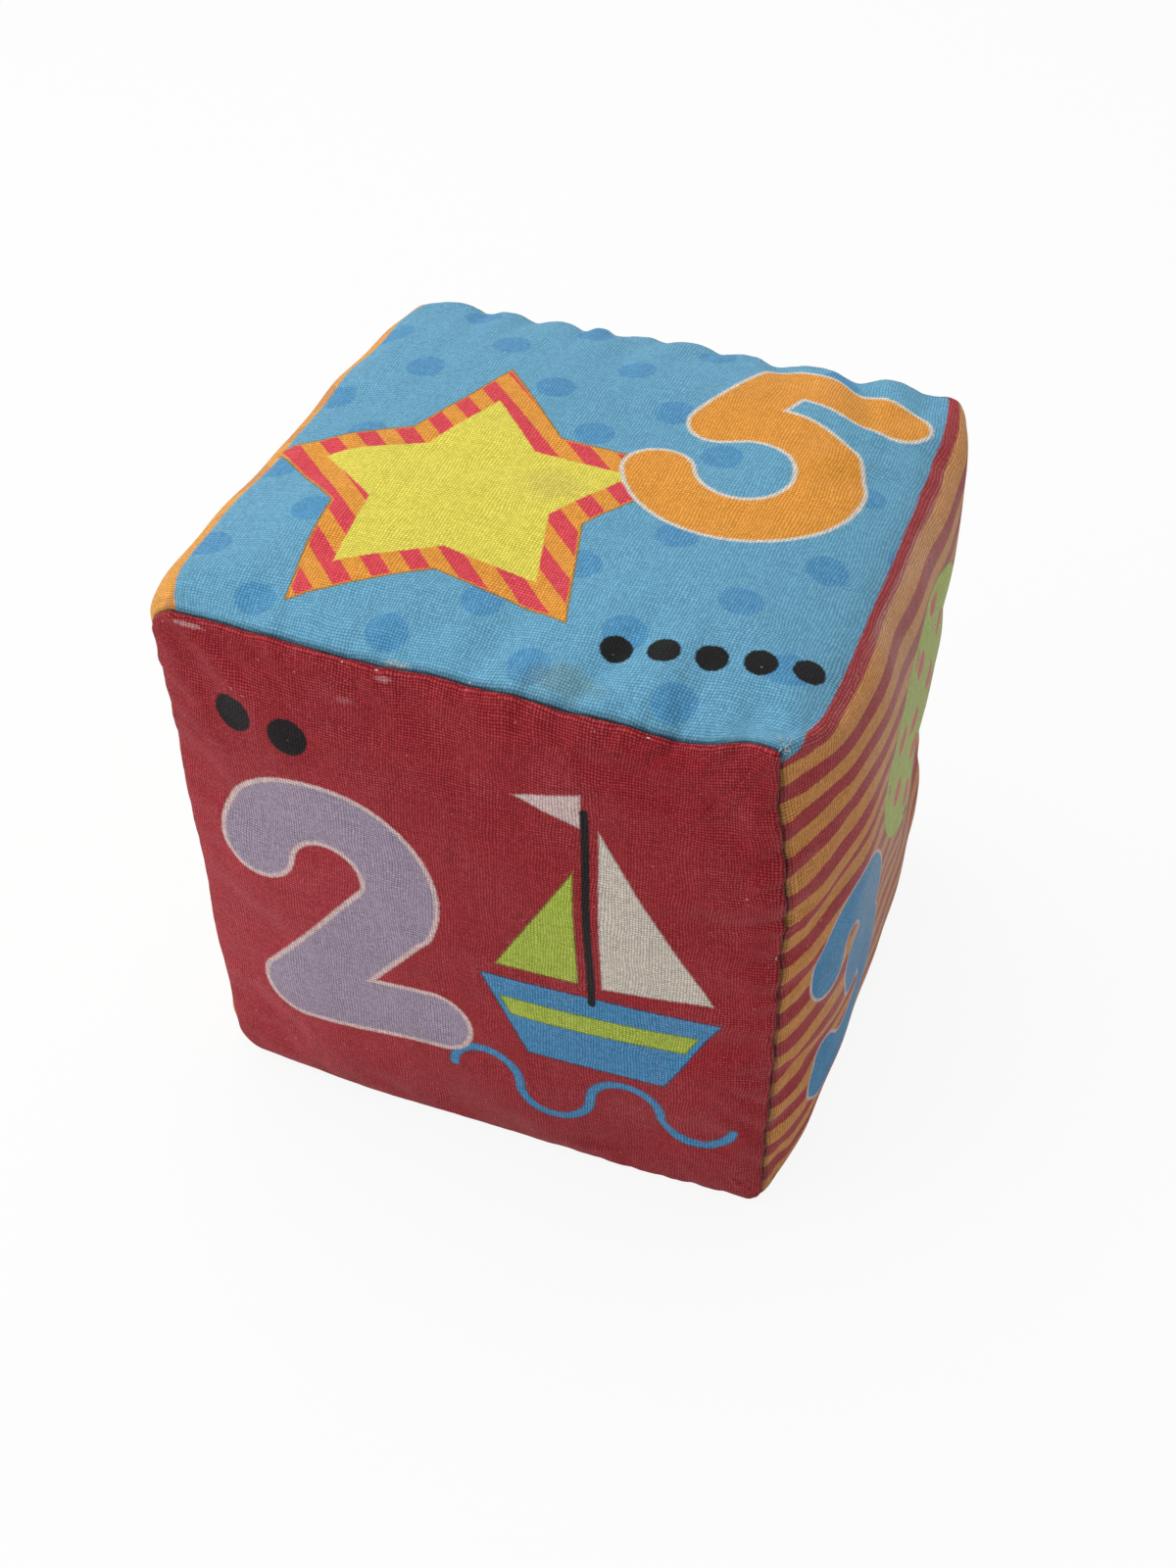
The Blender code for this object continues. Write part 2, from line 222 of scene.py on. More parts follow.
class FabricBlockInks(bpy.types.PropertyGroup):
    """The colours of the prints."""

    sky: colour_setting("Sky", "#619FBE", "Ground of the top")
    sky_dot: colour_setting("Sky dots", "#4C8FBA", "Tonal dots of the top")
    red: colour_setting("Red", "#991420", "Ground of the front")
    bright_red: colour_setting("Bright red", "#D53D49", "Red inks on pale ground")
    stripe_red: colour_setting("Stripe red", "#A52F34", "Red stripes of the right side")
    orange: colour_setting("Orange", "#DF9431", "Orange inks")
    stripe_orange: colour_setting("Stripe orange", "#CF8B45", "Orange stripes of the right side")
    amber: colour_setting("Amber", "#E09A3D", "Ground of the left side")
    yellow: colour_setting("Yellow", "#DDD04E", "Yellow inks")
    leaf: colour_setting("Leaf green", "#ABC042", "Green inks")
    pond: colour_setting("Blue", "#3A8ABB", "Blue inks")
    lavender: colour_setting("Lavender", "#A093A7", "Lavender inks")
    rose: colour_setting("Rose", "#D9BFBC", "Pink inks and pale borders")
    cream: colour_setting("Cream", "#D6CDBF", "Pale borders and sails")
    black: colour_setting("Black", "#040506", "Black inks")
    unprinted: colour_setting("Wrong side", "#D9D2C8", "The cotton's unprinted side")
    thread: colour_setting("Thread", "#DED9D0", "Machine thread")
    hand_thread: colour_setting("Hand thread", "#DD9C45", "Thread of the closing seam")
    foam: colour_setting("Foam", "#E9E2C6", "Foam inside")


# Where each piece of cloth lies


def fold_radius(y, corner):
    """Radius of one of the strip's folds at a depth."""
    at_seam = np.where(y < 0, FRONT_FOLD_RADII[corner], BACK_FOLD_RADII[corner])
    share = np.clip((HALF[1] - np.abs(y)) / FOLD_REACH, 0, 1)
    return at_seam + (FOLD_RADIUS - at_seam) * share**2 * (3 - 2 * share)


def outline(local, inset, bend, half_along, half_out, shut):
    """One side of the square block's rounded outline, read at stations counted from a corner.

    Gives how far along and how far out each station lies, and the angle that it faces.
    """
    near = np.minimum(local, SIDE_CELLS - local)
    way = np.where(local < SIDE_CELLS / 2, -1.0, 1.0)
    radius = np.maximum(bend - inset, LEAST_ROUND)
    angle = (math.pi / 4 - shut) * np.clip(1 - near / ARC_CELLS, 0, None)
    straight = half_along - inset - radius
    share = np.clip((near - ARC_CELLS) / (SPAN_CELLS / 2), 0, 1)
    along = straight * (1 - share) + radius * np.sin(angle)
    out = half_out - inset - radius + radius * np.cos(angle)
    return way * along, out, way * angle


def ring_points(station, inset, y, opened=False):
    """Points of the whole outline, from the lower left corner round by the bottom, and their facing."""
    station, inset, y = np.broadcast_arrays(np.asarray(station, float), inset, y)
    side = np.minimum(station // SIDE_CELLS, 3).astype(int)
    local = station - side * SIDE_CELLS
    bend = fold_radius(y, (side + (local > SIDE_CELLS / 2)) % 4)
    closing = (station <= ARC_CELLS) | (station >= RING_CELLS - ARC_CELLS)
    room = np.clip((NOSE_RADIUS + CLOSING_GAP) / (bend - NOSE_INSET), 0, math.sin(math.pi / 5))
    shut = np.where(closing & opened, np.arcsin(room), 0.0)
    level = (side == 0) | (side == 2)
    half_along = np.where(level, HALF[0], HALF[2])
    half_out = np.where(level, HALF[2], HALF[0])
    along, out, angle = outline(local, inset, bend, half_along, half_out, shut)
    quarter = side * math.pi / 2
    cos, sin = np.cos(quarter), np.sin(quarter)
    spot = np.stack([along * cos + out * sin, along * sin - out * cos], -1)
    facing = np.stack([np.sin(angle + quarter), -np.cos(angle + quarter)], -1)
    return spot, facing


def flat_station(station, y):
    """How far round the flat strip a station lies, in metres from the lower left corner."""
    station, y = np.broadcast_arrays(np.asarray(station, float), y)
    side = np.minimum(station // SIDE_CELLS, 3).astype(int)
    local = station - side * SIDE_CELLS
    spans = np.where(side % 2 == 0, WIDTH, HEIGHT)
    ends = [fold_radius(y, (side + turn) % 4) for turn in (0, 1)]
    length = sum(spans / 2 + (math.pi / 4 - 1) * bend for bend in ends)
    later = local > SIDE_CELLS / 2
    bend = np.where(later, ends[1], ends[0])
    near = np.minimum(local, SIDE_CELLS - local)
    run = bend * math.pi / 4 * np.minimum(near / ARC_CELLS, 1)
    run = run + (spans / 2 - bend) * np.clip((near - ARC_CELLS) / (SPAN_CELLS / 2), 0, 1)
    run = np.where(later, length - run, run)
    cut = spans - 2 * FOLD_RADIUS + FOLD_RADIUS * math.pi / 2
    before = np.concatenate([[0], np.cumsum(flat_lengths())])
    return before[side] + run * cut / length


def flat_lengths():
    """Length of each side of the strip between the middles of its folds."""
    bend = FOLD_RADIUS * math.pi / 2
    return [span - 2 * FOLD_RADIUS + bend for span in (WIDTH, HEIGHT, WIDTH, HEIGHT)]


def section_middle(section):
    """How far round the flat strip the middle of a section lies, in millimetres."""
    lengths = flat_lengths()
    index = SECTIONS.index(section)
    return (sum(lengths[:index]) + lengths[index] / 2) / MM


# The soft form


def swell(crown, bow_p, bow_q, shut_p, shut_q):
    """Swell of a side: its crown in the middle, a bow on its edges and nothing at its corners."""
    open_p, open_q = 1 - shut_p, 1 - shut_q
    return crown * open_p * open_q + bow_p * shut_p * open_q + bow_q * shut_q * open_p


class Gathers:
    """The places along one seam where the stitches draw the cotton in, each with its own depth."""

    def __init__(self, seed, spacing):
        draw = np.random.default_rng(seed)
        count = round((2 * WIDTH + 2 * HEIGHT) / spacing)
        gaps = draw.uniform(0.6, 1.4, count)
        self.places = np.cumsum(gaps) / gaps.sum() * 4
        self.depths = draw.uniform(0.35, 1.0, count)
        self.reaches = draw.uniform(0.6, 1.35, count)
        self.slants = draw.uniform(-0.3, 0.3, count)

    def between(self, values, place):
        return np.interp(place, self.places, values, period=4)

    def valley(self, place):
        """1 at a gather and 0 between two."""
        place = np.mod(place, 4)
        edges = np.concatenate([[self.places[-1] - 4], self.places])
        after = np.clip(np.searchsorted(edges, place, side="right"), 1, len(edges) - 1)
        share = (place - edges[after - 1]) / (edges[after] - edges[after - 1])
        return (0.5 + 0.5 * np.cos(2 * math.pi * share)) ** 1.5


def bites(place, seed, stitch):
    """How deep each stitch of a seam bites into the cotton, from 0 between two stitches to 1."""
    count = round((2 * WIDTH + 2 * HEIGHT) / stitch)
    depths = np.random.default_rng(seed).uniform(0.25, 1.0, count)
    depths = np.append(depths, depths[0])
    turn = np.mod(place, 4) / 4 * count
    return (0.5 + 0.5 * np.cos(2 * math.pi * turn)) ** 1.3 * np.interp(turn, np.arange(count + 1), depths)


def ring_place(points):
    """How far round the block each point lies, from 0 at the lower left corner to 4."""
    x, z = points[:, 0] / HALF[0], points[:, 2] / HALF[2]
    reach = np.maximum(np.maximum(np.abs(x), np.abs(z)), 1e-6)
    x, z = x / reach, z / reach
    sides = [z <= -np.abs(x), x >= np.abs(z), z >= np.abs(x)]
    return np.select(sides, [(x + 1) / 2, 1 + (z + 1) / 2, 2 + (1 - x) / 2], 3 + (1 - z) / 2)


def lumps(points, seed, longest, shortest, count=14):
    """A smooth uneven field, from about -1 to 1."""
    draw = np.random.default_rng(seed)
    ways = draw.normal(size=(count, 3))
    ways /= np.linalg.norm(ways, axis=1)[:, None]
    ways *= (2 * math.pi / draw.uniform(shortest, longest, count))[:, None]
    turns = draw.uniform(0, 2 * math.pi, count)
    return np.sin(points @ ways.T + turns).sum(1) / math.sqrt(count)


# Creases seen on the block: middle on the square block, the way that it runs, its half length and
# half width, and its depth
CREASES = (
    ((0.017, -0.036, 0.0455), (0.30, 1.0, 0), 0.010, 0.0026, 0.00070),
    ((0.029, -0.037, 0.0455), (-0.25, 1.0, 0), 0.009, 0.0024, 0.00070),
    ((-0.030, -0.037, 0.0455), (0.5, 1.0, 0), 0.009, 0.0030, 0.00040),
    ((0.034, 0.030, 0.0455), (0.8, 1.0, 0), 0.012, 0.0030, 0.00045),
    ((-0.006, 0.036, 0.0455), (-0.2, 1.0, 0), 0.010, 0.0026, 0.00040),
    ((0.010, -0.0435, 0.036), (0.3, 0, 1.0), 0.010, 0.0030, 0.00035),
    ((-0.034, -0.0435, 0.030), (-0.6, 0, 1.0), 0.012, 0.0034, 0.00035),
    ((0.036, -0.0435, -0.010), (1.0, 0, 0.2), 0.010, 0.0030, 0.00035),
    ((0.045, -0.034, 0.012), (0, 1.0, 0.2), 0.011, 0.0030, 0.00045),
    ((0.045, -0.032, -0.020), (0, 1.0, -0.3), 0.012, 0.0030, 0.00040),
    ((0.036, 0.014, 0.0455), (1.0, 0.55, 0), 0.010, 0.0022, 0.00050),
    ((0.039, 0.024, 0.0455), (1.0, 0.35, 0), 0.008, 0.0020, 0.00045),
    ((0.030, 0.036, 0.0455), (-0.2, 1.0, 0), 0.008, 0.0024, 0.00050),
    ((0.003, -0.035, 0.0455), (0.15, 1.0, 0), 0.008, 0.0024, 0.00045),
    ((0.037, -0.038, 0.0455), (-0.5, 1.0, 0), 0.007, 0.0020, 0.00050),
)


def outward(points, power=6):
    """The way out of the block at each point, turned smoothly round its edges."""
    unit = points / HALF
    way = np.sign(unit) * np.abs(unit) ** power / HALF
    return way / np.maximum(np.linalg.norm(way, axis=1), 1e-9)[:, None]


def gathered(points, form):
    """How far the seams' gathers, the foam's lumps and the creases move each point."""
    inset = np.minimum(HALF[0] - np.abs(points[:, 0]), HALF[2] - np.abs(points[:, 2])).clip(0)
    depth_in = (HALF[1] - np.abs(points[:, 1])).clip(0)
    flat = points * (1, 0, 1)
    side_way = outward(flat)
    panel_way = np.stack([0 * inset, np.sign(points[:, 1]), 0 * inset], -1)
    moved = np.zeros_like(points)
    place = ring_place(points)
    seams = (
        (form.seed, False, form.front_spacing, form.front_depth, FRONT_GATHERS),
        (form.seed + 1, True, form.back_spacing, form.back_depth, BACK_GATHERS),
    )
    for seed, at_back, spacing, most, shares in seams:
        here = (points[:, 1] > 0) == at_back
        here = here * np.interp(place, (0.5, 1.5, 2.5, 3.5), shares, period=4)
        seam = Gathers(seed, spacing)
        slant = seam.between(seam.slants, place)
        drift = slant * (depth_in + np.minimum(inset, 0.02)) / (WIDTH / 2)
        valley = seam.valley(place + drift)
        depth = seam.between(seam.depths, place)
        reach = form.pucker_reach * seam.between(seam.reaches, place)
        near = np.exp(-((depth_in / reach) ** 1.4)) * np.exp(-((inset / reach) ** 1.4))
        pull = (0.35 - valley) * depth * near * here * most
        moved += (side_way + 0.75 * panel_way) * pull[:, None]
        wander = lumps(flat, seed + 40, 0.024, 0.009)
        on_seam = np.exp(-((depth_in / 0.004) ** 2) - (inset / 0.004) ** 2) * here
        moved += panel_way * (wander * on_seam * form.seam_wander)[:, None]
        on_stitch = np.exp(-((depth_in / 0.0016) ** 2) - (inset / 0.0014) ** 2) * here
        bite = bites(place, seed + 60, form.stitch_length) * on_stitch * form.stitch_bite
        moved -= (side_way + 0.7 * panel_way) * bite[:, None]
    shoulder = np.exp(-((depth_in / 0.0014) ** 2) - (inset / 0.004) ** 2)
    moved -= side_way * (shoulder * SHOULDER_DRAW)[:, None]
    way = outward(points)
    moved += way * (lumps(points, form.seed + 9, 0.034, 0.014) * form.lump_height)[:, None]
    for middle, run, half_length, half_width, depth in CREASES:
        run = np.array(run) / np.linalg.norm(run)
        away = points - np.array(middle)
        length = away @ run
        across = np.linalg.norm(away - length[:, None] * run, axis=1)
        dent = np.exp(-((length / half_length) ** 2) - (across / half_width) ** 2)
        ridge = np.exp(-((length / half_length) ** 2) - ((across - 2 * half_width) / half_width) ** 2)
        moved += way * ((0.35 * ridge - dent) * depth)[:, None]
    return moved


# Places where the strip stands out, either beyond the seam's own line or together with it: middle
# on the square block, reach, how far they move, and whether the seam goes along
KNOBS = (
    ((-0.0420, -0.0375, 0.0425), 0.0070, (-0.0008, -0.0002, 0.0), False),
    ((-0.0435, -0.0220, 0.0435), 0.0110, (-0.0010, 0.0, 0.0003), False),
    ((-0.0430, -0.0385, -0.0415), 0.0055, (-0.0017, -0.0003, 0.0), False),
    ((-0.0450, -0.0435, -0.0450), 0.0060, (0.0008, 0.0, 0.0003), True),
    ((-0.0450, -0.0400, -0.0180), 0.0110, (-0.0009, 0.0, 0.0), True),
    ((-0.0450, -0.0400, 0.0200), 0.0120, (-0.0006, 0.0, 0.0), True),
    ((0.0440, -0.0415, 0.0445), 0.0030, (0.0004, -0.0001, 0.0003), False),
    ((0.0450, -0.0435, 0.0455), (0.0120, 0.0065, 0.0170), (-0.0027, 0.0, 0.0), True),
    ((0.0450, 0.0340, 0.0), 0.0170, (-0.0011, 0.0, 0.0), False),
    ((0.0450, 0.0290, -0.0180), 0.0120, (-0.0010, 0.0, 0.0), False),
    ((0.0440, 0.0370, 0.0380), 0.0060, (0.0003, 0.0, 0.0), False),
    ((0.0300, -0.0435, 0.0450), 0.0065, (0.0, -0.0003, -0.0010), True),
    ((0.0405, -0.0435, 0.0450), 0.0040, (0.0, 0.0001, 0.0005), True),
    ((0.0060, -0.0435, 0.0450), 0.0080, (0.0, 0.0, 0.0005), True),
)


def stand_out(points):
    """How far the strip and its seams stand out past their smooth line."""
    moved = np.zeros_like(points)
    off_seam = 1 - np.exp(-(((LIP_Y - np.abs(points[:, 1])).clip(0) / 0.0012) ** 2))
    for middle, reach, most, with_seam in KNOBS:
        away = np.linalg.norm((points - np.array(middle)) / reach, axis=1)
        share = np.exp(-(away**2)) * (1 if with_seam else off_seam)
        moved += share[:, None] * np.array(most)
    return moved


def soften(points, form, inset=0.0, moved=0.0):
    """Move points of the square block, given from its middle, to their places in the soft one."""
    u, v, w = (points / HALF).T
    near_u, near_v, near_w = np.minimum(np.abs((u, v, w)), 1)
    seam = near_v**SEAM_POWER
    side_fold, top_fold = near_w**FOLD_POWER, near_u**FOLD_POWER
    panel_side, panel_top = near_u**PANEL_POWER, near_w**PANEL_POWER
    sideways = swell(SIDE_CROWN, -SIDE_SEAM_DRAW, SIDE_FOLD_BOW, seam, side_fold)
    forward = swell(FACE_CROWN, PANEL_UPRIGHT_BOW, PANEL_LEVEL_BOW, panel_side, panel_top)
    upright = swell(TOP_CROWN, -TOP_FOLD_DRAW, -TOP_SEAM_DRAW, top_fold, seam)
    below = swell(BOTTOM_CROWN, BOTTOM_EDGE_BOW, BOTTOM_EDGE_BOW, top_fold, seam)
    upright = np.where(w < 0, np.minimum(below, REST), upright)
    soft = points + np.stack([u * (sideways + v * BACK_WIDER / 4), v * forward, w * upright], -1)
    soft += gathered(points, form) + stand_out(points) + moved
    soft[:, 2] += HALF[2] + REST
    soft[:, 2] = np.maximum(soft[:, 2], inset)
    return soft


# Meshes


def sheet_mesh(name, points, moved, pattern, wear, cells, section, form, inset):
    """An open sheet with its flat pattern as a map, from points on the square block."""
    mesh = bpy.data.meshes.new(name)
    mesh.from_pydata(soften(points, form, inset, moved), [], cells.tolist())
    layer = mesh.uv_layers.new(name="Pattern")
    corners = np.empty(len(mesh.loops), dtype=np.int32)
    mesh.loops.foreach_get("vertex_index", corners)
    layer.data.foreach_set("uv", pattern[corners].astype(np.float32).ravel())
    mesh.polygons.foreach_set("material_index", section.astype(np.int32))
    # The attribute holds rubbed wear above zero and painted crease shade below zero
    rubbed = mesh.attributes.new("wear", "FLOAT", "POINT")
    rubbed.data.foreach_set("value", wear.astype(np.float32))
    mesh.update()
    return mesh


def grid_cells(columns, rows, keep):
    """The four corners of each kept cell of a lattice whose points run row by row."""
    column, row = np.meshgrid(np.arange(columns), np.arange(rows), indexing="ij")
    column, row = column[keep], row[keep]
    first = column * (rows + 1) + row
    return np.stack([first, first + rows + 1, first + rows + 2, first + 1], -1), column, row


def used_only(points, cells, *others):
    """Drop the points that no cell uses."""
    used, cells = np.unique(cells, return_inverse=True)
    return (points[used], cells.reshape(-1, 4), *(other[used] for other in others))


def wrap_rows():
    """The strip's rows from its front raw edge to its back one: Y, inset and place in the flat cloth."""
    half = []
    for cell in range(ALLOWANCE_CELLS):
        back = ALLOWANCE * (1 - cell / ALLOWANCE_CELLS)
        half.append((LIP_Y - back, LIP_INSET, LIP_Y + math.pi * TURN_RADIUS + back))
    for cell in range(TURN_CELLS + 1):
        angle = math.pi * (1 - cell / TURN_CELLS)
        y = LIP_Y + TURN_RADIUS * math.sin(angle)
        half.append((y, COTTON_HALF + TURN_RADIUS * (1 - math.cos(angle)), LIP_Y + TURN_RADIUS * angle))
    shares = np.linspace(-1, 1, BODY_CELLS + 1)[1:-1]
    body = [(LIP_Y * (1.3 * s - 0.3 * s**3), COTTON_HALF) for s in shares]
    front = [(-y, inset, -flat) for y, inset, flat in half]
    back = [(y, inset, flat) for y, inset, flat in reversed(half)]
    return np.array(front + [(y, inset, y) for y, inset in body] + back)


def wrap_sheet(form, settled):
    """The strip's middle surface, with its lips, allowances and folded ends."""
    table = wrap_rows()
    rows = len(table) - 1
    end_cells = TURN_CELLS + ARC_CELLS + 2
    columns = RING_CELLS + 2 * end_cells
    station = np.arange(columns + 1) - end_cells
    ring = np.clip(station, 0, RING_CELLS)
    beyond = np.maximum(-station, station - RING_CELLS).clip(0)
    y = np.broadcast_to(table[:, 0], (columns + 1, rows + 1))
    inset = np.broadcast_to(table[:, 1], (columns + 1, rows + 1)).copy()
    flat_v = np.broadcast_to(table[:, 2], (columns + 1, rows + 1))
    spot, _ = ring_points(ring[:, None], inset, y, opened=True)
    for column in np.nonzero(beyond)[0]:
        way = -1 if station[column] < 0 else 1
        edge = 0 if way < 0 else RING_CELLS
        steps = beyond[column]
        if steps <= TURN_CELLS:
            angle = math.pi * steps / TURN_CELLS
            centre, face = ring_points(edge, COTTON_HALF, y[column], opened=True)
            onward = np.stack([-face[:, 1], face[:, 0]], -1) * way
            place = centre + onward * TURN_RADIUS * math.sin(angle)
            place = place - face * TURN_RADIUS * (1 - math.cos(angle))
        else:
            back = edge - way * (steps - TURN_CELLS)
            place = ring_points(back, LIP_INSET, y[column], opened=True)[0]
        spot[column] = place
    points = np.stack([spot[..., 0], y, spot[..., 1]], -1).reshape(-1, 3)
    turned_in = np.where(station < 0, -1, 1) * beyond * TURN_RADIUS
    flat_u = flat_station(ring[:, None], y) + turned_in[:, None]
    pattern = np.stack([flat_u, flat_v], -1).reshape(-1, 2)

    column, row = np.meshgrid(np.arange(columns), np.arange(rows), indexing="ij")
    near_row = np.minimum(row, rows - 1 - row)
    ring_cell = column - end_cells
    on_end = (ring_cell < 0) | (ring_cell >= RING_CELLS)
    local = np.mod(ring_cell, SIDE_CELLS)
    near = np.minimum(local, SIDE_CELLS - 1 - local)
    clip = CORNER_CLIP / (WIDTH / SPAN_CELLS)
    in_allowance = near_row < ALLOWANCE_CELLS
    slope = clip * (1.5 - near_row / ALLOWANCE_CELLS)
    cut = (near < ARC_CELLS + slope) & in_allowance
    cut |= (near < ARC_CELLS + clip / 2) & (near_row < ALLOWANCE_CELLS + TURN_CELLS // 3)
    cut |= on_end & (near_row < ALLOWANCE_CELLS + TURN_CELLS)
    cells, kept_column, _ = grid_cells(columns, rows, ~cut)
    section = np.clip((kept_column - end_cells) // SIDE_CELLS, 0, 3)

    # Paler rubbed wear on the folds, and painted shade that grows darker the further the cotton turns into a
    # seam's crease
    fold = np.abs(np.mod(ring + SIDE_CELLS / 2, SIDE_CELLS) - SIDE_CELLS / 2) / ARC_CELLS
    on_fold = np.exp(-((fold / 0.8) ** 2))[:, None]
    painted_crease_shade = np.clip((np.abs(flat_v) - LIP_Y + CREASE_REACH) / (2 * CREASE_REACH), 0, 1)
    wear = (on_fold * 0.35 * (painted_crease_shade == 0) - painted_crease_shade**1.5).reshape(-1)
    floor = (inset * (beyond[:, None] == 0) + LIP_INSET * (beyond[:, None] > 0)).reshape(-1)
    moved = settled.body(ring, table[:, 0]) * (table[:, 1] == COTTON_HALF)[:, None]
    others = pattern, wear, floor, moved.reshape(-1, 3)
    points, cells, pattern, wear, floor, moved = used_only(points, cells[:, ::-1], *others)
    return sheet_mesh("strip_sheet", points, moved, pattern, wear, cells, section, form, floor)


class Settled:
    """How far the cover moves when it settles as cloth over the foam.

    A coarse copy of the strip's body and of both faces is held at its seams and run as Blender's
    Cloth, with the foam's push as pressure. The finer sheets then read their own moves from it.
    """

    def __init__(self, form):
        shares = np.linspace(-1, 1, SETTLE_ROWS)
        self.depths = LIP_Y * (1.3 * shares - 0.3 * shares**3)
        station = np.arange(0, RING_CELLS, SETTLE_SKIP)
        station, y = np.meshgrid(station, self.depths, indexing="ij")
        spot, _ = ring_points(station, 0.0, y)
        body = np.stack([spot[..., 0], y, spot[..., 1]], -1)
        edge = np.zeros(body.shape[:2], bool)
        edge[:, [0, -1]] = True
        edge[0] = True
        column, row = np.meshgrid(np.arange(len(body)), np.arange(SETTLE_ROWS - 1), indexing="ij")
        first, after = column * SETTLE_ROWS + row, (column + 1) % len(body) * SETTLE_ROWS + row
        lattices = [(body, edge, np.stack([first, first + 1, after + 1, after], -1).reshape(-1, 4))]
        for way in (-1, 1):
            face, _, rim = (part[::SETTLE_SKIP, ::SETTLE_SKIP] for part in raised_face(way))
            size = len(face) - 1
            cells, _, _ = grid_cells(size, size, np.ones((size, size), bool))
            lattices.append((face, rim, cells[:, ::way * -1]))
        ends = np.cumsum([0] + [lattice[1].size for lattice in lattices])
        cells = np.concatenate([lattice[2] + end for lattice, end in zip(lattices, ends)])
        points = np.concatenate([lattice[0].reshape(-1, 3) for lattice in lattices])
        held = np.concatenate([lattice[1].reshape(-1) for lattice in lattices])
        moved = settle(points, cells, held, form)
        self.moves = [
            moved[start:end].reshape(lattice[0].shape)
            for lattice, start, end in zip(lattices, ends, ends[1:])
        ]

    def body(self, station, y):
        """Moves of the strip's body, for each station and each depth."""
        rows = np.interp(y, self.depths, np.arange(SETTLE_ROWS))
        moves = smooth_between(self.moves[0], station / SETTLE_SKIP, True)
        return smooth_between(moves.swapaxes(0, 1), rows).swapaxes(0, 1)

    def face(self, way):
        """Moves of a panel's face, on its own fine lattice."""
        places = np.arange(SIDE_CELLS + 1) / SETTLE_SKIP
        moves = smooth_between(self.moves[1 if way < 0 else 2], places)
        return smooth_between(moves.swapaxes(0, 1), places).swapaxes(0, 1)


def smooth_between(rows, places, closed=False):
    """Values at places between the rows of a lattice, along a smooth curve through them."""
    first = np.floor(places).astype(int)
    share = (places - first)[:, None, None]
    steps = [first + step for step in (-1, 0, 1, 2)]
    if closed:
        a, b, c, d = (rows[step % len(rows)] for step in steps)
    else:
        a, b, c, d = (rows[step.clip(0, len(rows) - 1)] for step in steps)
    bend = 2 * a - 5 * b + 4 * c - d + share * (3 * (b - c) + d - a)
    return b + share / 2 * (c - a + share * bend)


def settle(points, cells, held, form):
    """Run Blender's Cloth on a coarse cover and give how far each of its points moves."""
    start = soften(points, form)
    mesh = bpy.data.meshes.new("settling")
    mesh.from_pydata(start, [], cells.tolist())
    draft = bpy.data.objects.new("settling", mesh)
    bpy.context.scene.collection.objects.link(draft)
    group = draft.vertex_groups.new(name="held")
    group.add(np.nonzero(held)[0].tolist(), 1.0, "REPLACE")
    group.add(np.nonzero(~held)[0].tolist(), form.foam_grip, "REPLACE")
    cloth = draft.modifiers.new("Cloth", "CLOTH")
    settings = cloth.settings
    settings.tension_stiffness = settings.compression_stiffness = 15
    settings.shear_stiffness = 5
    settings.bending_stiffness = form.cotton_bend
    settings.vertex_group_mass = "held"
    settings.shrink_min = -form.slack
    settings.use_pressure = True
    settings.uniform_pressure_force = form.foam_push
    settings.effector_weights.gravity = 0
    cloth.collision_settings.use_collision = False
    cloth.point_cache.frame_start, cloth.point_cache.frame_end = 1, SETTLE_FRAMES
    scene = bpy.context.scene
    for moment in range(1, SETTLE_FRAMES + 1):
        scene.frame_set(moment)
    mesh = evaluated_mesh(draft, "settled")
    ends = np.empty(len(mesh.vertices) * 3)
    mesh.vertices.foreach_get("co", ends)
    bpy.data.meshes.remove(mesh)
    scene.frame_set(1)
    moved = ends.reshape(-1, 3) - start
    size = np.linalg.norm(moved, axis=1).clip(1e-9)[:, None]
    moved *= MOST_MOVED * np.tanh(size / MOST_MOVED) / size
    way = outward(points)
    out = (moved * way).sum(1)
    return moved + way * (np.maximum(out, -MOST_SUNK) - out)[:, None]


def face_lattice(inset, way):
    """A square panel's own lattice, laid in rings that shrink from its rounded outline to its middle."""
    middle = SIDE_CELLS / 2
    column, row = np.meshgrid(np.arange(SIDE_CELLS + 1), np.arange(SIDE_CELLS + 1), indexing="ij")
    right, up = column - middle, row - middle
    ring = np.maximum(np.abs(right), np.abs(up))
    safe = np.maximum(ring, 0.5)
    sides = [(up == -ring), (up == ring), (right == ring)]
    side = np.select(sides, [0, 2, 1], 3)
    local = np.select(sides, [right, -right, up], -up)
    station = side * SIDE_CELLS + middle + local * middle / safe
    spot, _ = ring_points(station, inset, way * HALF[1])
    return spot * (ring / middle)[..., None], ring == middle


def skirt_rows(way):
    """A panel's border from its face to its raw edge: inset, Y and distance along the cloth."""
    over = math.atan2(ROLL_Y[way] - LIP_Y, ROLL_INSET[way] - NOSE_INSET)
    rows = []
    for cell in range(ROLL_CELLS + 1):
        turned = (math.pi / 2 + over) * cell / ROLL_CELLS
        angle = math.pi / 2 + turned
        place = ROLL_INSET[way] + PANEL_ROLL * math.cos(angle), ROLL_Y[way] + PANEL_ROLL * math.sin(angle)
        rows.append((*place, PANEL_ROLL * turned))
    run = rows[-1][2]
    for cell in range(1, WRAP_CELLS + 1):
        angle = over * (1 - cell / WRAP_CELLS)
        place = NOSE_INSET + WRAP_RADIUS * math.cos(angle), LIP_Y + WRAP_RADIUS * math.sin(angle)
        rows.append((*place, run + WRAP_RADIUS * over * cell / WRAP_CELLS))
    run = rows[-1][2]
    for cell in range(1, ALLOWANCE_CELLS + 1):
        back = ALLOWANCE * cell / ALLOWANCE_CELLS
        rows.append((FLANGE_INSET, LIP_Y - back, run + back))
    return np.array(rows)


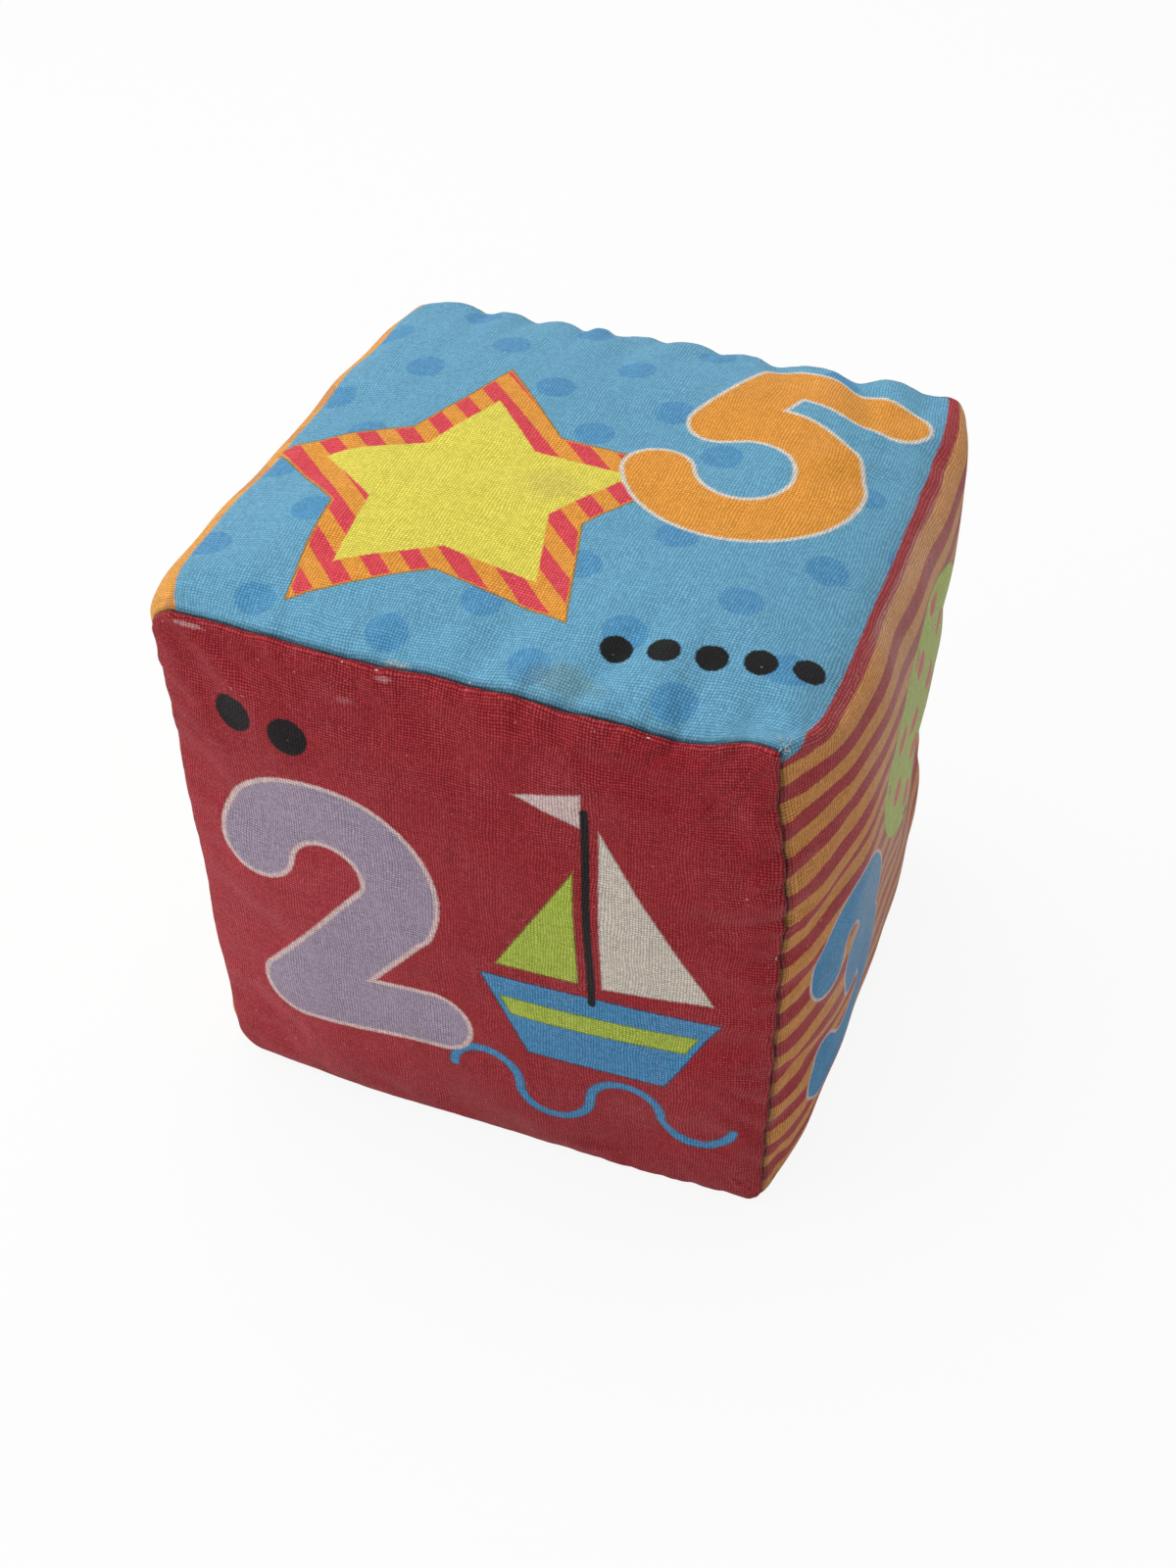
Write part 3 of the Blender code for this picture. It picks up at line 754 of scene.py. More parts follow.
def raised_face(way):
    """A panel's face on the square block, how far each point is from its border, and its rim."""
    face, rim = face_lattice(ROLL_INSET[way], way)
    border = np.maximum(HALF[[0, 2]] - np.abs(face) - ROLL_INSET[way], 0)
    rise = np.prod(1 - np.exp(-border / EDGE_REACH), axis=-1) * ~rim
    points = np.stack([face[..., 0], way * (ROLL_Y[way] + PANEL_ROLL + EDGE_RISE * rise), face[..., 1]], -1)
    return points, border.min(-1), rim


def panel_sheet(form, settled, way):
    """A panel's middle surface: its face, its rolled border and its allowances; way -1 is the front."""
    face_points, border, _ = raised_face(way)
    face = face_points[..., [0, 2]]
    count = SIDE_CELLS + 1
    face_cells, _, _ = grid_cells(SIDE_CELLS, SIDE_CELLS, np.ones((SIDE_CELLS, SIDE_CELLS), bool))
    face_pattern = face.reshape(-1, 2)

    inset, depth, run = skirt_rows(way).T
    rows = len(run) - 1
    station = np.arange(RING_CELLS + 1)
    spot, facing = ring_points(station[:, None], inset, way * depth)
    y = np.broadcast_to(way * depth, spot.shape[:2])
    skirt = np.stack([spot[..., 0], y, spot[..., 1]], -1).reshape(-1, 3)
    base = ring_points(station[:, None], ROLL_INSET[way], way * HALF[1])[0]
    skirt_pattern = (base + facing * run[None, :, None]).reshape(-1, 2)
    column, row = np.meshgrid(np.arange(RING_CELLS), np.arange(rows), indexing="ij")
    local = np.mod(column, SIDE_CELLS)
    near = np.minimum(local, SIDE_CELLS - 1 - local)
    down = row - ROLL_CELLS - WRAP_CELLS
    slope = CORNER_CLIP / (WIDTH / SPAN_CELLS) * (0.5 + down / ALLOWANCE_CELLS)
    cut = (down >= 0) & (near < ARC_CELLS + slope)
    skirt_cells, _, _ = grid_cells(RING_CELLS, rows, ~cut)

    points = np.concatenate([face_points.reshape(-1, 3), skirt])
    pattern = np.concatenate([face_pattern, skirt_pattern])
    cells = np.concatenate([face_cells, skirt_cells[:, ::-1] + count * count])
    if way > 0:
        cells = cells[:, ::-1]
        pattern = pattern * (-1, 1)
    # The face's border is paler with rubbed wear; painted shade darkens the cotton as it turns in under the
    # strip's lip
    rubbed = np.exp(-((border / 0.0009) ** 2)) * 0.4
    painted_crease_shade = np.clip((run - PANEL_ROLL) / (2 * PANEL_ROLL), 0, 1) ** 1.3
    painted_crease_shade = np.broadcast_to(painted_crease_shade, spot.shape[:2])
    wear = np.concatenate([rubbed.reshape(-1), 0.4 * (painted_crease_shade == 0).reshape(-1) - painted_crease_shade.reshape(-1)])
    moved = np.concatenate([settled.face(way).reshape(-1, 3), 0 * skirt])
    points, cells, pattern, wear, moved = used_only(points, cells, pattern, wear, moved)
    section = np.zeros(len(cells), dtype=int)
    return sheet_mesh("panel_sheet", points, moved, pattern, wear, cells, section, form, COTTON_HALF)


def merged(mesh):
    """Join the corners of a mesh that lie on each other."""
    shape = bmesh.new()
    shape.from_mesh(mesh)
    bmesh.ops.remove_doubles(shape, verts=shape.verts, dist=0.01 * MM)
    shape.to_mesh(mesh)
    shape.free()
    return mesh


def add_piece(name, data, nodes, finishes):
    """Put a finished mesh in the scene, as the piece that stands for some of the part's nodes."""
    piece = bpy.data.objects.new(name, data)
    bpy.context.scene.collection.objects.link(piece)
    while len(data.materials) < len(finishes):
        data.materials.append(None)
    for place, finish in enumerate(finishes):
        data.materials[place] = finish
    data.shade_smooth()
    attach(piece, "root")
    if nodes:
        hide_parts(*nodes)
    return piece


def thick_cloth(name, sheet, inner_slot):
    """The sheet with the cotton's thickness, its wrong side and cut edges in the next slots."""
    draft = bpy.data.objects.new(name + "_draft", sheet)
    bpy.context.scene.collection.objects.link(draft)
    for _ in range(2 * inner_slot):
        sheet.materials.append(None)
    wall = draft.modifiers.new("Cotton", "SOLIDIFY")
    wall.thickness = COTTON
    wall.offset = 0
    wall.material_offset = inner_slot
    wall.material_offset_rim = inner_slot
    mesh = evaluated_mesh(draft, name)
    bpy.data.meshes.remove(sheet)
    return mesh


def evaluated_mesh(draft, name):
    """The mesh that an object's modifiers make of it; the object itself is removed."""
    bpy.context.view_layer.update()
    seen = draft.evaluated_get(bpy.context.evaluated_depsgraph_get())
    mesh = bpy.data.meshes.new_from_object(seen)
    mesh.name = name
    bpy.data.objects.remove(draft)
    return mesh


# Stitches and loose threads


def seam_path(form, inset, y, spacing):
    """Stitch holes round the block at an inset and a depth."""
    station = np.linspace(0, RING_CELLS, 8 * RING_CELLS, endpoint=False)
    spot, _ = ring_points(station, inset, np.full_like(station, y))
    points = soften(np.stack([spot[:, 0], np.full(len(spot), y), spot[:, 1]], -1), form, inset)
    loop = np.concatenate([points, points[:1]])
    run = np.concatenate([[0], np.cumsum(np.linalg.norm(np.diff(loop, axis=0), axis=1))])
    count = round(run[-1] / spacing)
    places = np.linspace(0, run[-1], count, endpoint=False)
    holes = np.stack([np.interp(places, run, loop[:, axis]) for axis in range(3)], -1)
    return holes, [(hole, (hole + 1) % count) for hole in range(count)]


def closing_rungs(form):
    """Ladder stitches across the closing seam, which runs along the lower left edge."""
    draw = np.random.default_rng(form.seed + 80)
    y = np.arange(-LIP_Y + 0.003, LIP_Y - 0.002, form.ladder_spacing)
    y = y + draw.uniform(-0.0004, 0.0004, len(y))
    ends = []
    for edge, onward in ((0, 1.0), (RING_CELLS, -1.0)):
        spot, facing = ring_points(np.full_like(y, edge), COTTON_HALF / 2, y, opened=True)
        spot = spot + np.stack([-facing[:, 1], facing[:, 0]], -1) * onward * LADDER_HALF
        ends.append(soften(np.stack([spot[:, 0], y, spot[:, 1]], -1), form))
    ends[1][:, 1] += draw.uniform(-0.0004, 0.0004, len(y))
    points = np.concatenate(ends)
    return points, [(rung, rung + len(y)) for rung in range(len(y))]


def frayed_threads(form):
    """Loose threads at the clipped corner, where the top, front and right sides meet."""
    draw = np.random.default_rng(form.seed + 90)
    root = soften(np.array(FRAY_ROOT)[None], form)[0]
    points, edges = [], []
    for _ in range(FRAY_COUNT):
        length = draw.uniform(*FRAY_LENGTHS)
        way = np.array(FRAY_WAY) + draw.normal(0, 0.45, 3)
        curl = draw.normal(0, 0.55, 3)
        start = root + draw.uniform(-1, 1, 3) * FRAY_SPREAD
        first = len(points)
        for step in range(7):
            share = step / 6
            heading = way + curl * share
            points.append(start + heading / np.linalg.norm(heading) * length * share)
            if step:
                edges.append((first + step - 1, first + step))
    return np.array(points), edges


def wire_mesh(name, points, edges):
    mesh = bpy.data.meshes.new(name)
    mesh.from_pydata(points, edges, [])
    return mesh


def make_tree(name, inputs):
    """An empty Geometry Nodes tree with named inputs, and its first and last nodes."""
    tree = bpy.data.node_groups.new(name, "GeometryNodeTree")
    tree.interface.new_socket("Geometry", in_out="INPUT", socket_type="NodeSocketGeometry")
    for label, (kind, default) in inputs.items():
        socket = tree.interface.new_socket(label, in_out="INPUT", socket_type="NodeSocket" + kind)
        if default is not None:
            socket.default_value = default
    tree.interface.new_socket("Geometry", in_out="OUTPUT", socket_type="NodeSocketGeometry")
    return tree, tree.nodes.new("NodeGroupInput"), tree.nodes.new("NodeGroupOutput")


def make_stitch_tree():
    """One plump stitch on each edge of a wire mesh."""
    inputs = {
        "Radius": ("Float", THREAD / 2),
        "Fill": ("Float", 0.94),
        "Unevenness": ("Float", 0.00006),
        "Seed": ("Int", 3),
        "Material": ("Material", None),
    }
    tree, start, end = make_tree("stitch_row", inputs)
    sketch = Sketch(tree)
    ends = tree.nodes.new("GeometryNodeInputMeshEdgeVertices")
    way = sketch.vectors("SUBTRACT", ends.outputs["Position 2"], ends.outputs["Position 1"])
    capture = tree.nodes.new("GeometryNodeCaptureAttribute")
    capture.domain = "EDGE"
    capture.capture_items.new("VECTOR", "Way")
    sketch.join(start.outputs["Geometry"], capture.inputs["Geometry"])
    sketch.join(way, capture.inputs["Way"])
    points = tree.nodes.new("GeometryNodeMeshToPoints")
    points.mode = "EDGES"
    sketch.join(capture.outputs["Geometry"], points.inputs["Mesh"])
    stray = tree.nodes.new("FunctionNodeRandomValue")
    stray.data_type = "FLOAT_VECTOR"
    stray.inputs["Min"].default_value = (-1, -1, -1)
    sketch.join(start.outputs["Seed"], stray.inputs["Seed"])
    lean = sketch.vectors("SCALE", stray.outputs["Value"], start.outputs["Unevenness"])
    heading = sketch.vectors("ADD", capture.outputs["Way"], lean)
    turned = sketch.add("FunctionNodeAlignRotationToVector", {"Vector": heading}, axis="Z")
    length = sketch.maths("MULTIPLY", sketch.vectors("LENGTH", heading), start.outputs["Fill"])
    half = sketch.maths("MULTIPLY", length, 0.5)
    radius = start.outputs["Radius"]
    size = sketch.add("ShaderNodeCombineXYZ", {0: radius, 1: radius, 2: half})
    ball = sketch.add("GeometryNodeMeshUVSphere", {"Segments": 8, "Rings": 6, "Radius": 1.0})
    keys = {"Points": points.outputs[0], "Instance": ball, "Rotation": turned, "Scale": size}
    placed = sketch.add("GeometryNodeInstanceOnPoints", keys)
    real = sketch.add("GeometryNodeRealizeInstances", {"Geometry": placed})
    done = sketch.add(
        "GeometryNodeSetMaterial", {"Geometry": real, "Material": start.outputs["Material"]}
    )
    sketch.join(done, end.inputs[0])
    return tree


def make_fibre_tree():
    """A thin thread along each run of a wire mesh."""
    inputs = {"Radius": ("Float", 0.00005), "Material": ("Material", None)}
    tree, start, end = make_tree("loose_thread", inputs)
    sketch = Sketch(tree)
    curve = sketch.add("GeometryNodeMeshToCurve", {"Mesh": start.outputs["Geometry"]})
    keys = {"Resolution": 6, "Radius": start.outputs["Radius"]}
    ring = sketch.add("GeometryNodeCurvePrimitiveCircle", keys)
    tube = sketch.add(
        "GeometryNodeCurveToMesh", {"Curve": curve, "Profile Curve": ring, "Fill Caps": True}
    )
    real = sketch.add("GeometryNodeRealizeInstances", {"Geometry": tube})
    done = sketch.add(
        "GeometryNodeSetMaterial", {"Geometry": real, "Material": start.outputs["Material"]}
    )
    sketch.join(done, end.inputs[0])
    return tree


def grown_mesh(name, wire, tree, **values):
    """The plain mesh that a Geometry Nodes tree makes of a wire mesh."""
    draft = bpy.data.objects.new(name + "_draft", wire)
    bpy.context.scene.collection.objects.link(draft)
    grow = draft.modifiers.new("Grow", "NODES")
    grow.node_group = tree
    for item in tree.interface.items_tree:
        key = item.name.lower().replace(" ", "_")
        if item.in_out == "INPUT" and key in values:
            grow[item.identifier] = values[key]
    mesh = evaluated_mesh(draft, name)
    bpy.data.meshes.remove(wire)
    return mesh


# Finishes


class Sketch:
    """Adds nodes to a tree, so that a print or a weave reads like a formula."""

    def __init__(self, tree):
        self.tree = tree

    def join(self, value, socket):
        if isinstance(value, bpy.types.NodeSocket):
            self.tree.links.new(value, socket)
        elif hasattr(socket.default_value, "__len__") and len(socket.default_value) == 4:
            socket.default_value = (*value, 1) if len(value) == 3 else value
        else:
            socket.default_value = value

    def add(self, kind, values, output=0, **settings):
        node = self.tree.nodes.new(kind)
        for name, value in settings.items():
            setattr(node, name, value)
        for key, value in values.items():
            self.join(value, node.inputs[key])
        return node.outputs[output]

    def maths(self, operation, *values, clamp=False):
        return self.add("ShaderNodeMath", dict(enumerate(values)), operation=operation, use_clamp=clamp)

    def vectors(self, operation, *values):
        single = operation in ("LENGTH", "DISTANCE", "DOT_PRODUCT")
        keys = {0: values[0]}
        if len(values) > 1:
            keys["Scale" if operation == "SCALE" else 1] = values[1]
        return self.add("ShaderNodeVectorMath", keys, 1 if single else 0, operation=operation)

    def split(self, vector):
        node = self.tree.nodes.new("ShaderNodeSeparateXYZ")
        self.join(vector, node.inputs[0])
        return node.outputs["X"], node.outputs["Y"]

    def blend(self, share, under, over, way="MIX"):
        return self.add(
            "ShaderNodeMix", {0: share, 6: under, 7: over}, 2, data_type="RGBA", blend_type=way
        )

    def ease(self, value, start, end, low=0.0, high=1.0):
        keys = {"Value": value, "From Min": start, "From Max": end, "To Min": low, "To Max": high}
        return self.add("ShaderNodeMapRange", keys, interpolation_type="SMOOTHSTEP")

    def inside(self, distance, soft=0.12):
        """1 where a distance is below zero, with an edge as soft as ink on cotton."""
        return self.ease(distance, soft, -soft)

    def noise(self, vector, size, detail=2.0, rough=0.5):
        keys = {"Vector": vector, "Scale": 1 / size, "Detail": detail, "Roughness": rough}
        return self.add("ShaderNodeTexNoise", keys, "Fac", noise_dimensions="3D")

    def use(self, group, output=0, **values):
        node = self.tree.nodes.new("ShaderNodeGroup")
        node.node_tree = bpy.data.node_groups[group]
        for name, value in values.items():
            self.join(value, node.inputs[name.replace("_", " ")])
        return node.outputs[output]


def make_group(name, inputs, outputs, draw):
    """A node group; a socket is a number, a vector or a colour by the default that it is given."""
    tree = bpy.data.node_groups.new(name, "ShaderNodeTree")
    for label, default in inputs.items():
        width = len(default) if hasattr(default, "__len__") else 1
        kind = {1: "NodeSocketFloat", 3: "NodeSocketVector", 4: "NodeSocketColor"}[width]
        socket = tree.interface.new_socket(label, in_out="INPUT", socket_type=kind)
        socket.default_value = default
    for label, kind in outputs.items():
        tree.interface.new_socket(label, in_out="OUTPUT", socket_type="NodeSocket" + kind)
    start = tree.nodes.new("NodeGroupInput")
    end = tree.nodes.new("NodeGroupOutput")
    sockets = {socket.name: socket for socket in start.outputs if socket.name}
    for label, socket in draw(Sketch(tree), sockets).items():
        tree.links.new(socket, end.inputs[label])


def draw_stroke(sketch, given):
    """Distance to a straight pen stroke."""
    reach = sketch.vectors("SUBTRACT", given["Place"], given["Start"])
    whole = sketch.vectors("SUBTRACT", given["End"], given["Start"])
    along = sketch.vectors("DOT_PRODUCT", reach, whole)
    share = sketch.maths("DIVIDE", along, sketch.vectors("DOT_PRODUCT", whole, whole), clamp=True)
    off = sketch.vectors("SUBTRACT", reach, sketch.vectors("SCALE", whole, share))
    return {"Distance": sketch.vectors("LENGTH", off)}


def draw_arc(sketch, given):
    """Distance to a pen stroke along part of a circle."""
    reach = sketch.vectors("SUBTRACT", given["Place"], given["Centre"])
    x, y = sketch.split(reach)
    radius = sketch.vectors("LENGTH", reach)
    turned = sketch.maths("SUBTRACT", sketch.maths("ARCTAN2", y, x), given["Middle"])
    turned = sketch.maths("ABSOLUTE", sketch.maths("WRAP", turned, math.pi, -math.pi))
    over = sketch.maths("MAXIMUM", sketch.maths("SUBTRACT", turned, given["Half Span"]), 0.0)
    squares = sketch.maths("POWER", radius, 2.0)
    squares = sketch.maths("MULTIPLY_ADD", given["Radius"], given["Radius"], squares)
    chord = sketch.maths("MULTIPLY", sketch.maths("MULTIPLY", radius, given["Radius"]), -2.0)
    total = sketch.maths("MULTIPLY_ADD", chord, sketch.maths("COSINE", over), squares)
    return {"Distance": sketch.maths("SQRT", sketch.maths("MAXIMUM", total, 0.0))}


def draw_edge(sketch, given):
    """How far a place lies to the right of the line from Start to End."""
    reach = sketch.vectors("SUBTRACT", given["Place"], given["Start"])
    whole = sketch.vectors("NORMALIZE", sketch.vectors("SUBTRACT", given["End"], given["Start"]))
    crossed = sketch.vectors("CROSS_PRODUCT", reach, whole)
    node = sketch.tree.nodes.new("ShaderNodeSeparateXYZ")
    sketch.join(crossed, node.inputs[0])
    return {"Distance": node.outputs["Z"]}


def draw_star(sketch, given):
    """Distance to the outline of a five-pointed star."""
    reach = sketch.vectors("SUBTRACT", given["Place"], given["Centre"])
    x, y = sketch.split(reach)
    fifth = math.pi / 5
    turned = sketch.maths("SUBTRACT", sketch.maths("ARCTAN2", y, x), given["Turn"])
    folded = sketch.maths("ABSOLUTE", sketch.maths("WRAP", turned, fifth, -fifth))
    radius = sketch.vectors("LENGTH", reach)
    px = sketch.maths("MULTIPLY", radius, sketch.maths("COSINE", folded))
    py = sketch.maths("MULTIPLY", radius, sketch.maths("SINE", folded))
    inner_x = sketch.maths("MULTIPLY", given["Inner"], math.cos(fifth))
    inner_y = sketch.maths("MULTIPLY", given["Inner"], math.sin(fifth))
    back = sketch.maths("SUBTRACT", given["Outer"], inner_x)
    long = sketch.maths("SQRT", sketch.maths("MULTIPLY_ADD", back, back, sketch.maths("POWER", inner_y, 2.0)))
    part_x = sketch.maths("MULTIPLY", sketch.maths("SUBTRACT", px, given["Outer"]), inner_y)
    total = sketch.maths("MULTIPLY_ADD", py, back, part_x)
    return {"Distance": sketch.maths("DIVIDE", total, long)}


def draw_layer(sketch, given):
    """Ink with a pale border, printed over what lies beneath; inks that overlap make a dark line."""
    edge = sketch.maths("SUBTRACT", given["Distance"], given["Border Width"])
    under = sketch.blend(sketch.inside(edge, 0.22), given["Under"], given["Border"])
    colour = sketch.blend(sketch.inside(given["Distance"], 0.2), under, given["Ink"])
    doubled = sketch.blend(1.0, given["Under"], given["Ink"], "MULTIPLY")
    near_edge = sketch.maths("SUBTRACT", sketch.maths("ABSOLUTE", given["Distance"]), 0.12)
    share = sketch.maths("MULTIPLY", sketch.inside(near_edge, 0.16), given["Overlap"])
    return {"Colour": sketch.blend(share, colour, doubled)}


def draw_weave(sketch, given):
    """Plain weave: uneven threads that pass over and under by turns, with small holes between them."""
    place = given["Place"]
    for scale, reach in ((0.12, 1.6), (1.1, 0.28)):
        keys = {"Vector": given["Place"], "Scale": scale, "Detail": 1.0}
        wander = sketch.add("ShaderNodeTexNoise", keys, "Color")
        bent = sketch.vectors("SCALE", sketch.vectors("SUBTRACT", wander, (0.5, 0.5, 0.5)), reach)
        place = sketch.vectors("ADD", place, bent)
    place = sketch.vectors("SCALE", place, sketch.maths("DIVIDE", 1.0, given["Pitch"]))
    crossing = sketch.vectors("FLOOR", place)
    knot = sketch.add("ShaderNodeTexWhiteNoise", {"Vector": crossing}, "Value", noise_dimensions="2D")
    threads, tops, shades = [], [], []
    for part in sketch.split(place):
        thread = sketch.maths("FLOOR", part)
        offset = sketch.maths("SUBTRACT", sketch.maths("FRACT", part), 0.5)
        threads.append(thread)
        tops.append(sketch.maths("COSINE", sketch.maths("MULTIPLY", offset, math.pi * 0.96)))
        shades.append(sketch.add("ShaderNodeTexWhiteNoise", {"W": thread}, "Value", noise_dimensions="1D"))
    over = sketch.maths("FLOORED_MODULO", sketch.maths("ADD", *threads), 2.0)
    across, along = (sketch.maths("MULTIPLY_ADD", top, 0.5, 0.5) for top in tops)
    warp = sketch.maths("MULTIPLY", tops[0], along)
    weft = sketch.maths("MULTIPLY", tops[1], across)
    keys = {0: over, 2: warp, 3: weft}
    height = sketch.add("ShaderNodeMix", keys, 0, data_type="FLOAT")
    shade = sketch.add("ShaderNodeMix", {0: over, 2: shades[0], 3: shades[1]}, 0, data_type="FLOAT")
    return {"Height": height, "Shade": shade, "Knot": knot}


def draw_worn_and_shaded(sketch, given):
    """The print as it looks after years of play: thread by thread, faded, linty and rubbed, and darkened with
    painted shade in the seams' creases.
    """
    place, pitch = given["Place"], given["Pitch"]
    node = sketch.tree.nodes.new("ShaderNodeGroup")
    node.node_tree = bpy.data.node_groups["plain_weave"]
    sketch.join(place, node.inputs["Place"])
    sketch.join(pitch, node.inputs["Pitch"])
    height, shade, knot = (node.outputs[name] for name in ("Height", "Shade", "Knot"))
    fine = sketch.noise(place, 0.20, 1.0, 0.6)
    broad = sketch.noise(place, 24.0, 3.0, 0.55)
    rise = -2.05
    for part, share in ((height, 2.0), (knot, 0.5), (shade, 0.25), (fine, 1.25)):
        rise = sketch.maths("MULTIPLY_ADD", part, share, rise)
    light = sketch.maths("MULTIPLY_ADD", rise, given["Grain"], 0.92)
    light = sketch.maths("MULTIPLY_ADD", broad, 0.16, light)
    # Painted shade: below zero the attribute darkens the colour in a seam's crease
    seam_shade = sketch.maths("MAXIMUM", sketch.maths("MULTIPLY", given["Wear"], -0.85), 0.0)
    unshaded = sketch.maths("SUBTRACT", 1.0, seam_shade)
    light = sketch.maths("MULTIPLY", sketch.maths("MAXIMUM", light, 0.12), unshaded)
    colour = sketch.vectors("SCALE", given["Print"], light)
    speck = sketch.ease(rise, -0.2, 0.9)
    patch = sketch.ease(sketch.noise(place, 11.0, 4.0, 0.62), 0.42, 0.75)
    rubbed = sketch.maths("MULTIPLY", sketch.maths("MAXIMUM", given["Wear"], 0.0), given["Rub"])
    pale = sketch.maths("MULTIPLY_ADD", patch, 0.7, 0.65)
    pale = sketch.maths("MULTIPLY_ADD", pale, given["Fade"], rubbed)
    on_dark = sketch.ease(sketch.vectors("LENGTH", given["Print"]), 0.0, 0.3, 0.3, 1.0)
    pale = sketch.maths("MULTIPLY", sketch.maths("MULTIPLY", pale, on_dark), speck, clamp=True)
    colour = sketch.blend(pale, colour, given["Pale"])
    lint = sketch.ease(sketch.noise(place, 0.8, 1.0, 0.5), 0.74, 0.79)
    lint = sketch.maths("MULTIPLY", lint, given["Lint"])
    colour = sketch.blend(lint, colour, given["Pale"])
    fuzz = sketch.maths("MULTIPLY_ADD", fine, 0.5, sketch.maths("MULTIPLY_ADD", knot, 0.35, height))
    return {"Colour": colour, "Height": fuzz}


def make_groups():
    """Every shared node group, built once."""
    origin, one = (0.0, 0.0, 0.0), (1.0, 1.0, 1.0, 1.0)
    distance = {"Distance": "Float"}
    make_group("pen_stroke", {"Place": origin, "Start": origin, "End": origin}, distance, draw_stroke)
    make_group(
        "pen_arc",
        {"Place": origin, "Centre": origin, "Radius": 1.0, "Middle": 0.0, "Half Span": 1.0},
        distance,
        draw_arc,
    )
    make_group("cut_edge", {"Place": origin, "Start": origin, "End": origin}, distance, draw_edge)
    make_group(
        "star_outline",
        {"Place": origin, "Centre": origin, "Turn": 0.0, "Outer": 10.0, "Inner": 5.0},
        distance,
        draw_star,
    )
    make_group(
        "print_layer",
        {"Under": one, "Distance": 0.0, "Ink": one, "Border": one, "Border Width": 0.0, "Overlap": 0.0},
        {"Colour": "Color"},
        draw_layer,
    )
    make_group(
        "plain_weave",
        {"Place": origin, "Pitch": 0.43},
        {"Height": "Float", "Shade": "Float", "Knot": "Float"},
        draw_weave,
    )
    make_group(
        "worn_cotton",
        {"Print": one, "Place": origin, "Pitch": 0.43, "Grain": 0.3, "Wear": 0.0, "Rub": 0.5,
         "Fade": 0.1, "Lint": 0.3, "Pale": one},
        {"Colour": "Color", "Height": "Float"},
        draw_worn_and_shaded,
    )


# Plain numerals, as strokes and arcs of a pen in a box one unit high
NUMERALS = {
    1: (("stroke", (0.02, 0.38), (0.02, -0.38)), ("stroke", (0.02, 0.38), (-0.17, 0.24))),
    2: (
        ("arc", (0.0, 0.16), 0.23, 68, 98),
        ("stroke", (0.19, 0.04), (-0.22, -0.38)),
        ("stroke", (-0.22, -0.38), (0.25, -0.38)),
    ),
    3: (("arc", (0.0, 0.19), 0.19, 40, 112), ("arc", (0.0, -0.16), 0.23, -38, 115)),
    4: (
        ("stroke", (0.08, 0.38), (-0.25, -0.14)),
        ("stroke", (-0.25, -0.14), (0.27, -0.14)),
        ("stroke", (0.08, 0.38), (0.08, -0.38)),
    ),
    5: (
        ("stroke", (0.21, 0.41), (-0.16, 0.41)),
        ("stroke", (-0.16, 0.41), (-0.19, 0.04)),
        ("arc", (-0.01, -0.14), 0.25, -8, 138),
    ),
    6: (("arc", (0.0, -0.15), 0.22, 0, 180), ("arc", (0.26, -0.06), 0.49, 150, 32)),
}


